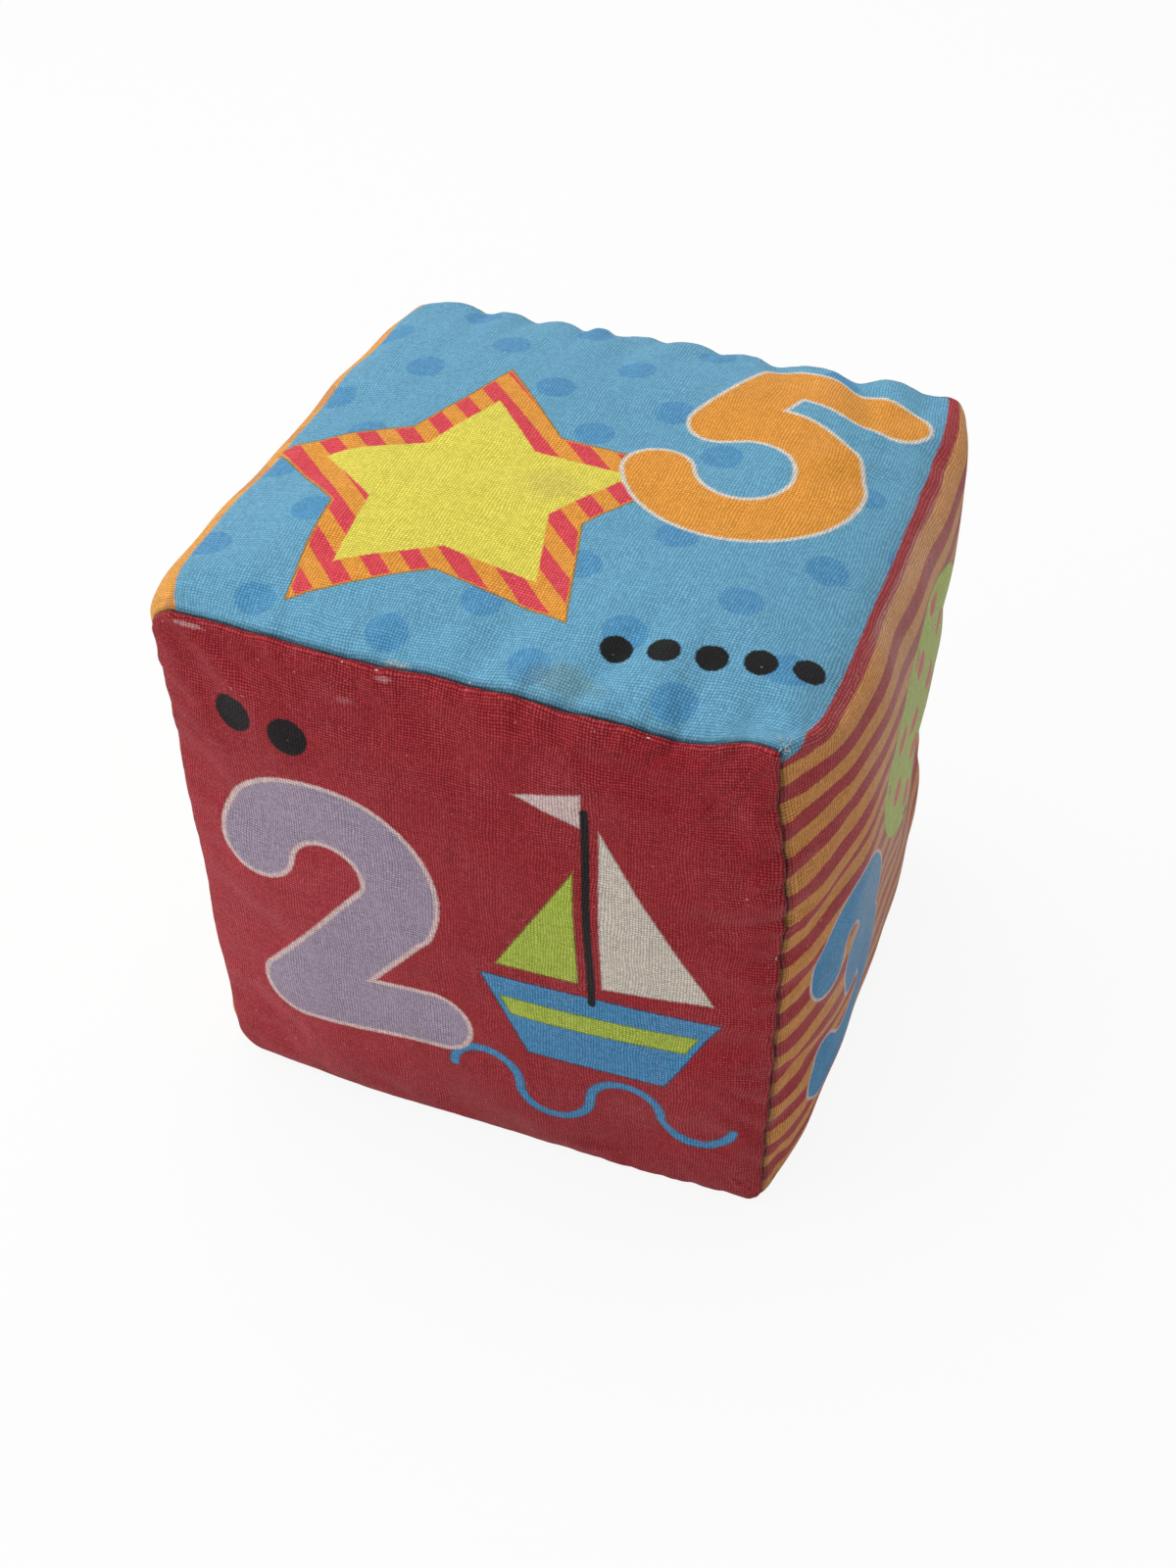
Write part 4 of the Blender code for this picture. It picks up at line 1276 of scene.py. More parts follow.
class Cloth:
    """A length of printed cotton: its flat pattern in millimetres, and what is printed on it."""

    def __init__(self, sketch, place, inks, blur=None):
        self.sketch = sketch
        self.place = place
        self.inks = inks
        if blur is None:
            blur = sketch.maths("MULTIPLY_ADD", sketch.noise(place, 0.6, 2.0, 0.6), 0.5, -0.25)
        self.blur = blur

    def colour(self, name):
        return tuple(getattr(self.inks, name))

    def stroke(self, start, end):
        return self.sketch.use("pen_stroke", Place=self.place, Start=(*start, 0), End=(*end, 0))

    def arc(self, centre, radius, middle, half_span):
        return self.sketch.use(
            "pen_arc",
            Place=self.place,
            Centre=(*centre, 0),
            Radius=radius,
            Middle=math.radians(middle),
            Half_Span=math.radians(half_span),
        )

    def disc(self, centre, radius):
        away = self.sketch.vectors("DISTANCE", self.place, (*centre, 0))
        return self.sketch.maths("SUBTRACT", away, radius)

    def shape(self, corners):
        """A shape with straight edges; its corners run against the clock and it has no hollows."""
        sides = [
            self.sketch.use("cut_edge", Place=self.place, Start=(*a, 0), End=(*b, 0))
            for a, b in zip(corners, corners[1:] + corners[:1])
        ]
        return self.largest(*sides)

    def star(self, centre, turn, outer, inner):
        return self.sketch.use(
            "star_outline", Place=self.place, Centre=(*centre, 0), Turn=math.radians(turn),
            Outer=outer, Inner=inner,
        )

    def nearest(self, *distances):
        found = distances[0]
        for other in distances[1:]:
            found = self.sketch.maths("MINIMUM", found, other)
        return found

    def largest(self, *distances):
        found = distances[0]
        for other in distances[1:]:
            found = self.sketch.maths("MAXIMUM", found, other)
        return found

    def wider(self, distance, width):
        return self.sketch.maths("SUBTRACT", distance, width)

    def numeral(self, digit, centre, height, turn, half_width):
        """A plain numeral drawn with a broad pen."""
        cos, sin = math.cos(math.radians(turn)), math.sin(math.radians(turn))

        def spot(point):
            x, y = (part * height for part in point)
            return centre[0] + x * cos - y * sin, centre[1] + x * sin + y * cos

        parts = []
        for kind, *shape in NUMERALS[digit]:
            if kind == "stroke":
                parts.append(self.stroke(spot(shape[0]), spot(shape[1])))
            else:
                middle, radius, way, half_span = shape
                parts.append(self.arc(spot(middle), radius * height, way + turn, half_span))
        return self.wider(self.nearest(*parts), half_width)

    def dots(self, spacing, radius, jitter, turn=45.0, squares=False):
        """Rows of dots, or of squares, that are more or less even."""
        keys = {"Vector": self.place, "Rotation": (0, 0, math.radians(turn))}
        turned = self.sketch.add("ShaderNodeMapping", keys, vector_type="POINT")
        keys = {"Vector": turned, "Scale": 1 / spacing, "Randomness": jitter}
        metric = "CHEBYCHEV" if squares else "EUCLIDEAN"
        found = self.sketch.add(
            "ShaderNodeTexVoronoi", keys, "Distance", voronoi_dimensions="2D", distance=metric
        )
        return self.sketch.maths("MULTIPLY_ADD", found, spacing, -radius)

    def printed(self, under, distance, ink_name, border="cream", border_width=0.0, overlap=0.0):
        """The cloth's colour with one more shape printed on it."""
        return self.sketch.use(
            "print_layer",
            Under=under,
            Distance=self.sketch.maths("ADD", distance, self.blur),
            Ink=self.colour(ink_name),
            Border=self.colour(border if border_width else ink_name),
            Border_Width=border_width,
            Overlap=overlap,
        )

    def smudged(self, under, centre, reach, tint, strength):
        """The cloth's colour with a soft uneven mark on it, such as a stain, a scuff, a patch of painted
        light or a pale wash of painted sheen.
        """
        x, y = self.sketch.split(self.sketch.vectors("SUBTRACT", self.place, (*centre, 0)))
        keys = {0: self.sketch.maths("DIVIDE", x, reach[0]), 1: self.sketch.maths("DIVIDE", y, reach[1])}
        away = self.sketch.vectors("LENGTH", self.sketch.add("ShaderNodeCombineXYZ", keys))
        torn = self.sketch.noise(self.place, min(reach), 4.0, 0.65)
        away = self.sketch.maths("MULTIPLY_ADD", torn, 1.6, self.sketch.maths("SUBTRACT", away, 0.8))
        share = self.sketch.maths("MULTIPLY", self.sketch.ease(away, 1.0, 0.35), strength)
        return self.sketch.blend(share, under, (*ink(tint), 1))


def strip_ground(cloth, whole):
    """The strip's grounds, which meet near its folds. The whole strip is one print."""
    sketch = cloth.sketch
    u, v = sketch.split(whole)
    at = Cloth(sketch, whole, cloth.inks, cloth.blur)
    lengths = [length / MM for length in flat_lengths()]
    right_start = sketch.maths("SUBTRACT", u, lengths[0])
    top_start = sketch.maths("SUBTRACT", u, sum(lengths[:2]) + 1.25)
    top_start = sketch.maths("MULTIPLY_ADD", v, -0.014, top_start)
    near_seam = sketch.ease(v, -30.0, -43.0)
    left_start = sketch.maths("SUBTRACT", u, sum(lengths[:3]) - 1.7)
    left_start = sketch.maths("MULTIPLY_ADD", near_seam, 1.6, left_start)
    bend = sketch.maths("MULTIPLY_ADD", sketch.noise(whole, 26.0, 1.0), 1.8, -0.9)

    dotted = at.printed(at.colour("yellow"), at.dots(DOT_SPACING, 2.6, 0.2), "orange")
    bottom_edge = sketch.maths("SUBTRACT", BOTTOM_START, u)
    colour = sketch.blend(sketch.inside(bottom_edge, 0.2), at.colour("amber"), dotted)
    swept = sketch.maths("MULTIPLY_ADD", near_seam, 1.3, sketch.maths("ADD", top_start, bend))
    top_start = sketch.maths("MULTIPLY_ADD", sketch.ease(v, -37.5, -43.0), 2.3, top_start)
    turns = sketch.maths("ADD", sketch.maths("DIVIDE", swept, STRIPE_PERIOD), 0.085)
    wave = sketch.maths("ABSOLUTE", sketch.maths("SUBTRACT", sketch.maths("FRACT", turns), 0.5))
    stripe = sketch.maths("MULTIPLY_ADD", wave, STRIPE_PERIOD, -STRIPE_HALF)
    striped = at.printed(at.colour("stripe_red"), stripe, "stripe_orange")
    right_edge = sketch.maths("MULTIPLY", right_start, -1.0)
    colour = sketch.blend(sketch.inside(right_edge, 0.2), colour, striped)
    spotted = at.printed(at.colour("sky"), at.dots(DOT_SPACING, 2.75, 0.16), "sky_dot")
    top_edge = sketch.maths("SUBTRACT", at.blur, top_start)
    colour = sketch.blend(sketch.inside(top_edge, 0.2), colour, spotted)
    squares = at.dots(SQUARE_SPACING, 4.0, 0.3, squares=True)
    squared = at.printed(at.colour("amber"), squares, "stripe_orange")
    left_edge = sketch.maths("SUBTRACT", at.blur, left_start)
    return sketch.blend(sketch.inside(left_edge, 0.2), colour, squared)


def print_top(cloth, colour):
    """Blue side: a star with a striped border, a numeral and five counting dots."""
    sketch = cloth.sketch
    star = cloth.star((-13.0, -9.0), 100.0, 31.0, 17.5)
    x, y = sketch.split(cloth.place)
    slope = sketch.maths("DIVIDE", sketch.maths("ADD", x, y), STAR_BAND)
    wave = sketch.maths("ABSOLUTE", sketch.maths("SUBTRACT", sketch.maths("FRACT", slope), 0.5))
    bands = sketch.maths("MULTIPLY_ADD", wave, STAR_BAND, -STAR_BAND_HALF)
    border = cloth.printed(cloth.colour("orange"), bands, "bright_red")
    edge = sketch.maths("ADD", star, cloth.blur)
    outlined = cloth.printed(colour, star, "orange", overlap=0.75)
    colour = sketch.blend(sketch.inside(sketch.maths("ADD", edge, 0.28), 0.2), outlined, border)
    colour = cloth.printed(colour, cloth.wider(star, -4.6), "yellow")
    five = cloth.numeral(5, (22.0, 14.5), 46.0, -14.0, 4.5)
    colour = cloth.printed(colour, five, "orange", border_width=0.6)
    row = [cloth.disc((16.5 + 5.7 * step, -32.5 + 1.1 * step), 2.0) for step in range(5)]
    colour = cloth.printed(colour, cloth.nearest(*row), "black")
    # A darker greenish patch near the front edge of the top, over the creases there
    colour = cloth.smudged(colour, (12.0, -39.5), (7.5, 3.0), "#6F7D5C", 0.32)
    colour = cloth.smudged(colour, (-2.0, -4.0), (6.0, 4.0), "#A8914E", 0.25)
    return cloth.smudged(colour, (-9.0, -42.3), (2.2, 0.7), "#D8D8D2", 0.4)


def print_right(cloth, colour):
    """Striped side: a balloon with red dots, its string, a numeral and three dots."""
    balloon = cloth.disc((9.0, 14.0), 21.0)
    colour = cloth.printed(colour, balloon, "leaf", overlap=0.7)
    spots = cloth.largest(cloth.dots(9.0, 2.2, 0.5), cloth.wider(balloon, -2.0))
    colour = cloth.printed(colour, spots, "bright_red")
    string = cloth.nearest(cloth.arc((2.0, -17.0), 12.0, 35.0, 42.0), cloth.stroke((9.0, -7.0), (11.0, -9.0)))
    colour = cloth.printed(colour, cloth.wider(string, 0.45), "black")
    three = cloth.numeral(3, (-22.0, -14.0), 44.0, 8.0, 5.0)
    colour = cloth.printed(colour, three, "pond", border="rose", border_width=0.5)
    row = [cloth.disc((16.0 + 5.0 * step, -33.0), 1.3) for step in range(3)]
    colour = cloth.printed(colour, cloth.nearest(*row), "black")
    # A broad pale wash over the middle of this side: partly the cotton's fading, partly painted sheen of the
    # side seen at a glancing angle
    return cloth.smudged(colour, (6.0, 0.0), (42.0, 70.0), "#D9CFC4", 0.25)


def print_left(cloth, colour):
    """Orange side: a numeral and one striped ball."""
    ball = cloth.disc((18.0, -14.0), 14.5)
    colour = cloth.printed(colour, ball, "pond", border_width=0.6)
    stripe = cloth.wider(cloth.stroke((2.0, -23.0), (34.0, -5.0)), 3.4)
    colour = cloth.printed(colour, cloth.largest(ball, stripe), "yellow", overlap=0.5)
    one = cloth.numeral(1, (-20.0, 2.0), 50.0, 6.0, 5.2)
    return cloth.printed(colour, one, "bright_red", border_width=0.55)


def print_bottom(cloth, colour):
    """Yellow side: a numeral and four squares."""
    four = cloth.numeral(4, (-16.0, 6.0), 48.0, -6.0, 5.0)
    colour = cloth.printed(colour, four, "leaf", border_width=0.55)
    for x, y in ((14.0, 18.0), (28.0, 14.0), (13.0, -12.0), (29.0, -18.0)):
        corners = [(x - 5, y - 5), (x + 5, y - 5), (x + 5, y + 5), (x - 5, y + 5)]
        colour = cloth.printed(colour, cloth.shape(corners), "bright_red")
    return colour


def print_front(cloth, colour):
    """Red side: a sailing boat on a wave, a numeral and two dots."""
    wave = cloth.nearest(
        cloth.arc((2.0, -28.0), 5.5, 90, 90),
        cloth.arc((13.0, -28.0), 5.5, -90, 90),
        cloth.arc((24.0, -28.0), 5.5, 90, 90),
        cloth.arc((35.0, -28.0), 5.5, -90, 80),
    )
    # Painted light: the left part of the front is painted a lighter red, as if more light falls on that side
    colour = cloth.smudged(colour, (-32.0, -8.0), (34.0, 50.0), "#B83540", 0.5)
    colour = cloth.printed(colour, cloth.wider(wave, 0.75), "pond", overlap=0.5)
    hull = cloth.shape([(2.0, -5.0), (9.0, -20.0), (30.0, -20.0), (38.0, -5.0)])
    mast = cloth.wider(cloth.stroke((19.0, -6.0), (18.0, 31.0)), 0.55)
    sail = cloth.shape([(20.5, -2.5), (36.5, -1.5), (20.0, 28.0)])
    jib = cloth.shape([(4.5, -2.5), (17.0, -2.5), (16.5, 20.0)])
    flag = cloth.shape([(17.5, 34.0), (8.0, 31.0), (17.5, 28.0)])
    colour = cloth.printed(colour, hull, "pond", overlap=0.8)
    band = cloth.shape([(0.0, -12.5), (40.0, -12.5), (40.0, -9.0), (0.0, -9.0)])
    band = cloth.largest(cloth.wider(hull, -1.0), band)
    colour = cloth.printed(colour, band, "leaf", overlap=0.7)
    colour = cloth.printed(colour, sail, "cream", overlap=0.5)
    colour = cloth.printed(colour, jib, "leaf", overlap=0.8)
    colour = cloth.printed(colour, flag, "rose", overlap=0.4)
    colour = cloth.printed(colour, mast, "black")
    two = cloth.numeral(2, (-20.5, -2.0), 50.0, 6.0, 5.4)
    colour = cloth.printed(colour, two, "lavender", border="rose", border_width=0.8)
    row = [cloth.disc((-33.0 + 8.5 * step, 32.0 - step), 2.9) for step in range(2)]
    colour = cloth.printed(colour, cloth.nearest(*row), "black")
    colour = cloth.smudged(colour, (-10.0, 44.4), (1.6, 0.6), "#D9A7A8", 0.45)
    colour = cloth.smudged(colour, (-15.5, 39.5), (1.8, 0.8), "#C98085", 0.30)
    return cloth.smudged(colour, (-39.0, 44.5), (3.0, 0.6), "#E2C3C0", 0.45)


def print_back(cloth, colour):
    """Green side: tonal dots, a numeral and six red dots."""
    colour = cloth.printed(colour, cloth.dots(12.0, 2.4, 0.6), "yellow")
    six = cloth.numeral(6, (-19.0, 0.0), 50.0, 5.0, 5.2)
    colour = cloth.printed(colour, six, "pond", border_width=0.55)
    row = [cloth.disc((10.0 + 15.0 * (step % 2), 20.0 - 18.0 * (step // 2)), 4.6) for step in range(6)]
    return cloth.printed(colour, cloth.nearest(*row), "bright_red", border_width=0.5)


# How each section's upright frame is turned out of the strip's own: scale, turn and where its middle is
SECTION_FRAMES = {
    "top": ((-1, 1, 1), 0.0, lambda middle: (middle, 0, 0)),
    "right": ((-1, 1, 1), -90.0, lambda middle: (0, -middle, 0)),
    "left": ((-1, 1, 1), 90.0, lambda middle: (0, middle, 0)),
    "bottom": ((1, -1, 1), 0.0, lambda middle: (-middle, 0, 0)),
}
SECTION_PRINTS = {"top": print_top, "right": print_right, "left": print_left, "bottom": print_bottom}


def cotton_finish(name, form, inks, draw, settings):
    """A matt printed cotton; draw gives its print's colour from the pattern's nodes."""
    finish = bpy.data.materials.new(name)
    finish.use_nodes = True
    tree = finish.node_tree
    sketch = Sketch(tree)
    shader = tree.nodes["Principled BSDF"]
    flat = tree.nodes.new("ShaderNodeUVMap")
    flat.uv_map = "Pattern"
    whole = sketch.vectors("SCALE", flat.outputs["UV"], 1 / MM)
    colour = draw(sketch, whole)
    # The mesh attribute holds rubbed wear above zero and painted crease shade below zero
    rubbed = sketch.add("ShaderNodeAttribute", {}, "Fac", attribute_name="wear")
    node = tree.nodes.new("ShaderNodeGroup")
    node.node_tree = bpy.data.node_groups["worn_cotton"]
    given = {"Print": colour, "Place": whole, "Pitch": form.weave_pitch / MM, "Wear": rubbed}
    for key, value in {**given, **settings}.items():
        sketch.join(value, node.inputs[key])
    tree.links.new(node.outputs["Colour"], shader.inputs["Base Color"])
    bump = tree.nodes.new("ShaderNodeBump")
    bump.inputs["Strength"].default_value = 0.55
    bump.inputs["Distance"].default_value = 0.00010
    tree.links.new(node.outputs["Height"], bump.inputs["Height"])
    tree.links.new(bump.outputs["Normal"], shader.inputs["Normal"])
    shader.inputs["Roughness"].default_value = 0.88
    shader.inputs["Specular IOR Level"].default_value = 0.2
    shader.inputs["Sheen Weight"].default_value = 0.12
    shader.inputs["Sheen Roughness"].default_value = 0.45
    return finish


def section_finish(section, form, inks):
    """The strip's cotton on one side of the block."""

    def draw(sketch, whole):
        scale, turn, middle = SECTION_FRAMES[section]
        keys = {
            "Vector": whole,
            "Location": middle(section_middle(section)),
            "Rotation": (0, 0, math.radians(turn)),
            "Scale": scale,
        }
        place = sketch.add("ShaderNodeMapping", keys, vector_type="POINT")
        cloth = Cloth(sketch, place, inks)
        return SECTION_PRINTS[section](cloth, strip_ground(cloth, whole))

    settings = {"Pale": ink("#D9D6CF"), "Fade": 0.07, "Rub": 0.12, "Lint": 0.2, "Grain": 0.45}
    if section == "right":
        settings.update(Fade=0.08, Rub=0.3, Lint=0.35, Grain=0.52)
    return cotton_finish("cotton_" + section, form, inks, draw, settings)


def panel_finish(name, ground, form, inks, draw_print, settings):
    """A panel's cotton."""

    def draw(sketch, whole):
        cloth = Cloth(sketch, whole, inks)
        return draw_print(cloth, cloth.colour(ground))

    return cotton_finish(name, form, inks, draw, settings)


def plain_finish(name, colour, roughness, grain=0.0, grain_size=0.4):
    """A plain finish with a fine grain, for thread, foam and the cotton's wrong side."""
    finish = bpy.data.materials.new(name)
    finish.use_nodes = True
    tree = finish.node_tree
    sketch = Sketch(tree)
    shader = tree.nodes["Principled BSDF"]
    spot = sketch.add("ShaderNodeTexCoord", {}, "Object")
    place = sketch.vectors("SCALE", spot, 1 / MM)
    fine = sketch.noise(place, grain_size, 3.0, 0.6)
    light = sketch.maths("MULTIPLY_ADD", fine, 0.5, 0.72)
    base = sketch.add("ShaderNodeRGB", {})
    base.default_value = (*colour, 1)
    tree.links.new(sketch.vectors("SCALE", base, light), shader.inputs["Base Color"])
    shader.inputs["Roughness"].default_value = roughness
    shader.inputs["Specular IOR Level"].default_value = 0.25
    if grain:
        bump = tree.nodes.new("ShaderNodeBump")
        bump.inputs["Strength"].default_value = 0.6
        bump.inputs["Distance"].default_value = grain
        tree.links.new(fine, bump.inputs["Height"])
        tree.links.new(bump.outputs["Normal"], shader.inputs["Normal"])
    return finish


SETTLED = {}


def settled_cover(form):
    """The settled cover for these settings, worked out once."""
    key = tuple(
        getattr(form, name) for name in form.bl_rna.properties.keys() if name not in ("rna_type", "name")
    )
    if key not in SETTLED:
        SETTLED.clear()
        SETTLED[key] = Settled(form)
    return SETTLED[key]


def block_settings(context):
    return context.scene.fabric_block_form, context.scene.fabric_block_inks


class FABRICBLOCK_OT_foam(bpy.types.Operator):
    """Make the foam cube, squashed a little under the seam allowances"""

    bl_idname = "fabric_block.foam"
    bl_label = "Foam"

    def execute(self, context):
        form, inks = block_settings(context)
        band = FLANGE_INSET + COTTON_HALF + LAYER_GAP + MOST_SUNK
        body = COTTON + LAYER_GAP + MOST_SUNK
        end = min(ROLL_Y.values()) + PANEL_ROLL - COTTON_HALF - LAYER_GAP - MOST_SUNK
        rows = []
        for cell in range(5):
            angle = math.pi / 2 * cell / 4
            back, inward = FOAM_ROUND * (1 - math.cos(angle)), FOAM_ROUND * (1 - math.sin(angle))
            rows.append((-end + back, band + inward))
        rows.append((-RAW_EDGE_Y + FOAM_MARGIN, band))
        ledge = RAW_EDGE_Y - FOAM_RAMP
        count = round(2 * ledge / FOAM_CELL)
        rows += [(-ledge + 2 * ledge * cell / count, body) for cell in range(count + 1)]
        rows += [(-y, inset) for y, inset in reversed(rows[:6])]
        table = np.array(rows)
        station = np.arange(0, RING_CELLS + 1, FOAM_SKIP)
        near_closing = np.minimum(station, RING_CELLS - station) <= ARC_CELLS + 8
        inset = np.broadcast_to(table[:, 1], (len(station), len(rows))).copy()
        inset[near_closing] = np.maximum(inset[near_closing], LIP_INSET + COTTON)
        spot, _ = ring_points(station[:, None], inset, table[:, 0])
        y = np.broadcast_to(table[:, 0], spot.shape[:2])
        skin = np.stack([spot[..., 0], y, spot[..., 1]], -1).reshape(-1, 3)
        keep = np.ones((len(station) - 1, len(rows) - 1), bool)
        cells, _, _ = grid_cells(len(station) - 1, len(rows) - 1, keep)
        points, faces = [skin], [cells]
        offset = len(skin)
        size = SIDE_CELLS // FOAM_SKIP
        flat_cells, _, _ = grid_cells(size, size, np.ones((size, size), bool))
        for way in (-1, 1):
            cap = face_lattice(table[0, 1], way)[0][::FOAM_SKIP, ::FOAM_SKIP]
            flat = np.stack([cap[..., 0], np.full(cap.shape[:2], way * end), cap[..., 1]], -1)
            points.append(flat.reshape(-1, 3))
            faces.append((flat_cells if way < 0 else flat_cells[:, ::-1]) + offset)
            offset += flat.shape[0] * flat.shape[1]
        points, faces = np.concatenate(points), np.concatenate(faces)
        mesh = bpy.data.meshes.new("foam_block")
        mesh.from_pydata(soften(points, form, body), [], faces.tolist())
        merged(mesh)
        foam = plain_finish("open_cell_foam", inks.foam, 0.95, 0.0004, 0.6)
        piece = add_piece("foam_block", mesh, ("foam_core",), (foam,))
        return {"FINISHED"}


class FABRICBLOCK_OT_strip(bpy.types.Operator):
    """Make the strip that goes round the bottom, right, top and left sides"""

    bl_idname = "fabric_block.strip"
    bl_label = "Strip"

    def execute(self, context):
        form, inks = block_settings(context)
        mesh = thick_cloth("strip_cover", wrap_sheet(form, settled_cover(form)), len(SECTIONS))
        finishes = [section_finish(section, form, inks) for section in SECTIONS]
        wrong_side = plain_finish("cotton_wrong_side", inks.unprinted, 0.9, 0.00008)
        finishes += [wrong_side] * len(SECTIONS)
        piece = add_piece("strip_cover", mesh, ("wrap_strip",), finishes)
        return {"FINISHED"}


class FABRICBLOCK_OT_panels(bpy.types.Operator):
    """Make the front and back panels"""

    bl_idname = "fabric_block.panels"
    bl_label = "Panels"

    def execute(self, context):
        form, inks = block_settings(context)
        wrong_side = bpy.data.materials["cotton_wrong_side"]
        worn = {"Pale": ink("#D79A9E"), "Fade": 0.18, "Rub": 0.10, "Lint": 0.5, "Grain": 0.62}
        fresh = {"Pale": ink("#DDDCC9"), "Fade": 0.10, "Rub": 0.10, "Lint": 0.25, "Grain": 0.45}
        jobs = (
            ("front", -1, "red", print_front, worn),
            ("back", 1, "leaf", print_back, fresh),
        )
        for label, way, ground, draw, settings in jobs:
            sheet = merged(panel_sheet(form, settled_cover(form), way))
            mesh = merged(thick_cloth(label + "_cover", sheet, 1))
            finish = panel_finish("cotton_" + label, ground, form, inks, draw, settings)
            piece = add_piece(label + "_cover", mesh, (label + "_panel",), (finish, wrong_side))
        return {"FINISHED"}


class FABRICBLOCK_OT_seams(bpy.types.Operator):
    """Make the machine stitches, the closing stitches and the frayed corner"""

    bl_idname = "fabric_block.seams"
    bl_label = "Seams"

    def execute(self, context):
        form, inks = block_settings(context)
        stitches = make_stitch_tree()
        machine = plain_finish("machine_thread", inks.thread, 0.6, 0.00003, 0.12)
        for label, way in (("front", -1), ("back", 1)):
            rows = (("needle", NOSE_INSET, LIP_Y), ("bobbin", ROLL_INSET[way], ROLL_Y[way]))
            for row, inset, depth in rows:
                wire = wire_mesh(label, *seam_path(form, inset, way * depth, form.stitch_length))
                name = f"{label}_{row}_stitches"
                mesh = grown_mesh(
                    name, wire, stitches, radius=THREAD / 2, seed=form.seed, material=machine
                )
                add_piece(name, mesh, (f"{label}_{row}_thread",), (machine,))
        by_hand = plain_finish("hand_thread", inks.hand_thread, 0.6, 0.00003, 0.12)
        wire = wire_mesh("closing", *closing_rungs(form))
        mesh = grown_mesh("closing_stitches", wire, stitches, radius=THREAD / 2, fill=1.0, material=by_hand)
        add_piece("closing_stitches", mesh, ("closing_thread",), (by_hand,))
        pale = plain_finish("frayed_cotton", inks.cream, 0.8)
        wire = wire_mesh("fray", *frayed_threads(form))
        mesh = grown_mesh("corner_fray", wire, make_fibre_tree(), material=pale)
        add_piece("corner_fray", mesh, (), (pale,))
        return {"FINISHED"}


class FABRICBLOCK_OT_stage(bpy.types.Operator):
    """Set the camera, the lamps, the pale floor and the world"""

    bl_idname = "fabric_block.stage"
    bl_label = "Stage"

    def execute(self, context):
        set_camera(context)
        set_floor(context)
        set_lamps(context)
        context.scene.view_settings.view_transform = "Standard"
        return {"FINISHED"}


# The photograph's camera, found from the block's corners and edges
CAMERA_AZIMUTH = 20.979
CAMERA_ELEVATION = 43.299
CAMERA_ROLL = -0.563
CAMERA_DISTANCE = 0.293667
CAMERA_SHIFT_RIGHT = 0.000480
CAMERA_SHIFT_UP = -0.008312
CAMERA_LENS = 42.817
SENSOR = 36.0

# The world's light, and the share of plain white in the floor as the camera sees it
WORLD_STRENGTH = 0.36
FLOOR_WHITE = 0.9


def set_camera(context):
    azimuth, elevation = math.radians(CAMERA_AZIMUTH), math.radians(CAMERA_ELEVATION)
    back = Vector((
        math.sin(azimuth) * math.cos(elevation),
        -math.cos(azimuth) * math.cos(elevation),
        math.sin(elevation),
    ))
    right = Vector((0, 0, 1)).cross(back).normalized()
    up = back.cross(right)
    middle = Vector((0, 0, HALF[2] + REST))
    eye = middle + right * CAMERA_SHIFT_RIGHT + up * CAMERA_SHIFT_UP + back * CAMERA_DISTANCE
    roll = math.radians(CAMERA_ROLL)
    level = right * math.cos(roll) + up * math.sin(roll)
    upright = up * math.cos(roll) - right * math.sin(roll)
    data = bpy.data.cameras.new("Camera")
    data.sensor_width = SENSOR
    data.lens = CAMERA_LENS
    data.clip_start, data.clip_end = 0.01, 20.0
    camera = bpy.data.objects.new("Camera", data)
    context.scene.collection.objects.link(camera)
    turned = Matrix((level, upright, back)).transposed().to_4x4()
    camera.matrix_world = Matrix.Translation(eye) @ turned
    context.scene.camera = camera


def seen_white(tree, shader, white_kind, share=1.0):
    """Mix a shader with plain white where the camera, gloss or glass sees it."""
    path = tree.nodes.new("ShaderNodeLightPath")
    sketch = Sketch(tree)
    seen = sketch.maths("MAXIMUM", path.outputs["Is Camera Ray"], path.outputs["Is Glossy Ray"])
    seen = sketch.maths("MAXIMUM", seen, path.outputs["Is Transmission Ray"])
    white = tree.nodes.new(white_kind)
    white.inputs["Color"].default_value = (1.0, 1.0, 1.0, 1)
    white.inputs["Strength"].default_value = 1.0
    mix = tree.nodes.new("ShaderNodeMixShader")
    sketch.join(sketch.maths("MULTIPLY", seen, share), mix.inputs[0])
    tree.links.new(shader, mix.inputs[1])
    tree.links.new(white.outputs[0], mix.inputs[2])
    return mix.outputs[0]


def set_floor(context):
    mesh = bpy.data.meshes.new("floor")
    reach = 3.0
    corners = [(-reach, -reach, 0), (reach, -reach, 0), (reach, reach, 0), (-reach, reach, 0)]
    mesh.from_pydata(corners, [], [(0, 1, 2, 3)])
    floor = bpy.data.objects.new("floor", mesh)
    context.scene.collection.objects.link(floor)
    finish = bpy.data.materials.new("pale_floor")
    finish.use_nodes = True
    tree = finish.node_tree
    shader = tree.nodes["Principled BSDF"]
    shader.inputs["Base Color"].default_value = (0.9, 0.9, 0.9, 1)
    shader.inputs["Roughness"].default_value = 1.0
    shader.inputs["Specular IOR Level"].default_value = 0.0
    out = tree.nodes["Material Output"]
    surface = seen_white(tree, shader.outputs[0], "ShaderNodeEmission", FLOOR_WHITE)
    tree.links.new(surface, out.inputs["Surface"])
    mesh.materials.append(finish)


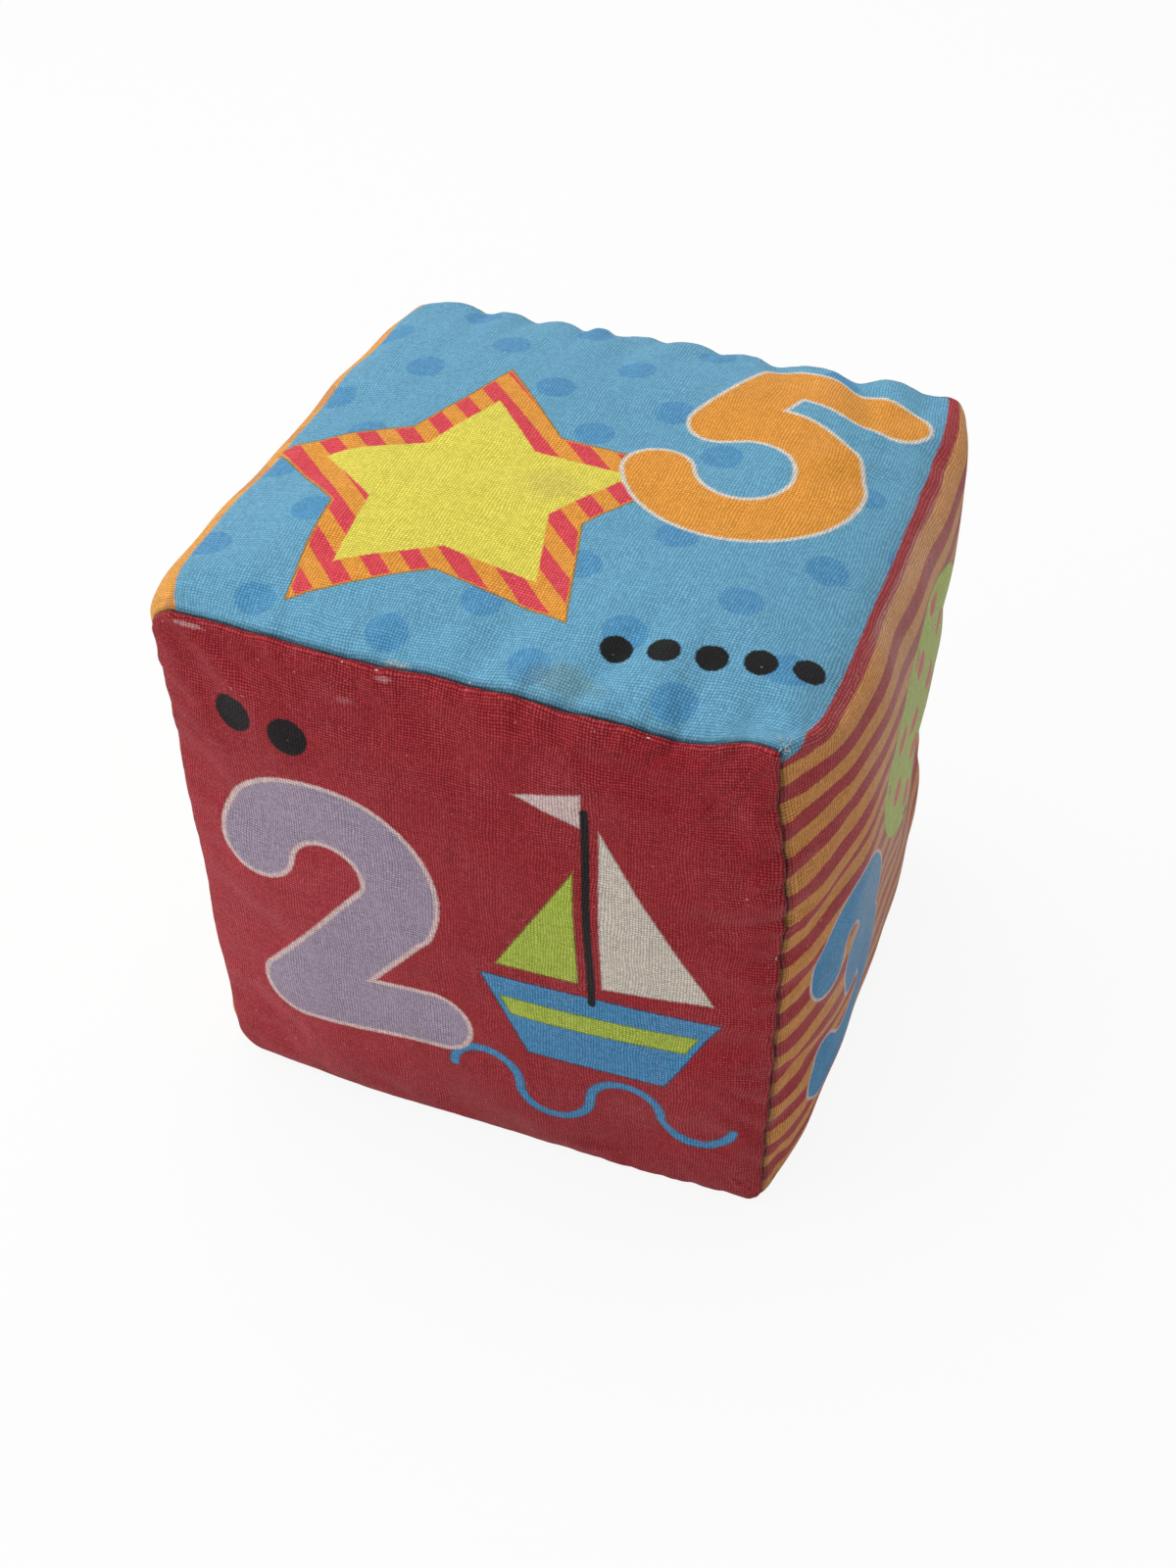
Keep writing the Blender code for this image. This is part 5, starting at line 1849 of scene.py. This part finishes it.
def set_lamps(context):
    world = bpy.data.worlds.new("World")
    context.scene.world = world
    world.use_nodes = True
    tree = world.node_tree
    sky = tree.nodes["Background"]
    sky.inputs["Color"].default_value = (1.0, 1.0, 1.0, 1)
    sky.inputs["Strength"].default_value = WORLD_STRENGTH
    surface = seen_white(tree, sky.outputs[0], "ShaderNodeBackground")
    tree.links.new(surface, tree.nodes["World Output"].inputs["Surface"])
    lamps = (
        ("overhead", (-0.25, 0.15, 0.95), (0.9, 0.9), 6.3),
        ("front_left", (-0.55, -0.45, 0.35), (0.45, 0.45), 1.6),
    )
    for label, place, size, power in lamps:
        data = bpy.data.lights.new(label, "AREA")
        data.shape = "RECTANGLE"
        data.size, data.size_y = size
        data.energy = power
        lamp = bpy.data.objects.new(label, data)
        lamp.location = place
        aim = Vector((0, 0, HALF[2])) - Vector(place)
        lamp.rotation_mode = "QUATERNION"
        lamp.rotation_quaternion = aim.to_track_quat("-Z", "Y")
        context.scene.collection.objects.link(lamp)


class FABRICBLOCK_PT_sidebar(bpy.types.Panel):
    """The block's sizes, inks and pieces"""

    bl_label = "Fabric Block"
    bl_idname = "FABRICBLOCK_PT_sidebar"
    bl_space_type = "VIEW_3D"
    bl_region_type = "UI"
    bl_category = "Fabric Block"

    def draw(self, context):
        for group in block_settings(context):
            box = self.layout.box()
            for name in group.bl_rna.properties.keys():
                if name not in ("rna_type", "name"):
                    box.prop(group, name)
        for operator in OPERATORS:
            self.layout.operator(operator.bl_idname)


OPERATORS = (
    FABRICBLOCK_OT_foam,
    FABRICBLOCK_OT_strip,
    FABRICBLOCK_OT_panels,
    FABRICBLOCK_OT_seams,
    FABRICBLOCK_OT_stage,
)
CLASSES = (FabricBlockForm, FabricBlockInks, *OPERATORS, FABRICBLOCK_PT_sidebar)


def register():
    for cls in CLASSES:
        bpy.utils.register_class(cls)
    bpy.types.Scene.fabric_block_form = bpy.props.PointerProperty(type=FabricBlockForm)
    bpy.types.Scene.fabric_block_inks = bpy.props.PointerProperty(type=FabricBlockInks)


def unregister():
    del bpy.types.Scene.fabric_block_form
    del bpy.types.Scene.fabric_block_inks
    for cls in reversed(CLASSES):
        bpy.utils.unregister_class(cls)


def main():
    register()
    make_groups()
    bpy.ops.fabric_block.foam()
    bpy.ops.fabric_block.strip()
    bpy.ops.fabric_block.panels()
    bpy.ops.fabric_block.seams()
    bpy.ops.fabric_block.stage()


if __name__ == "__main__":
    main()
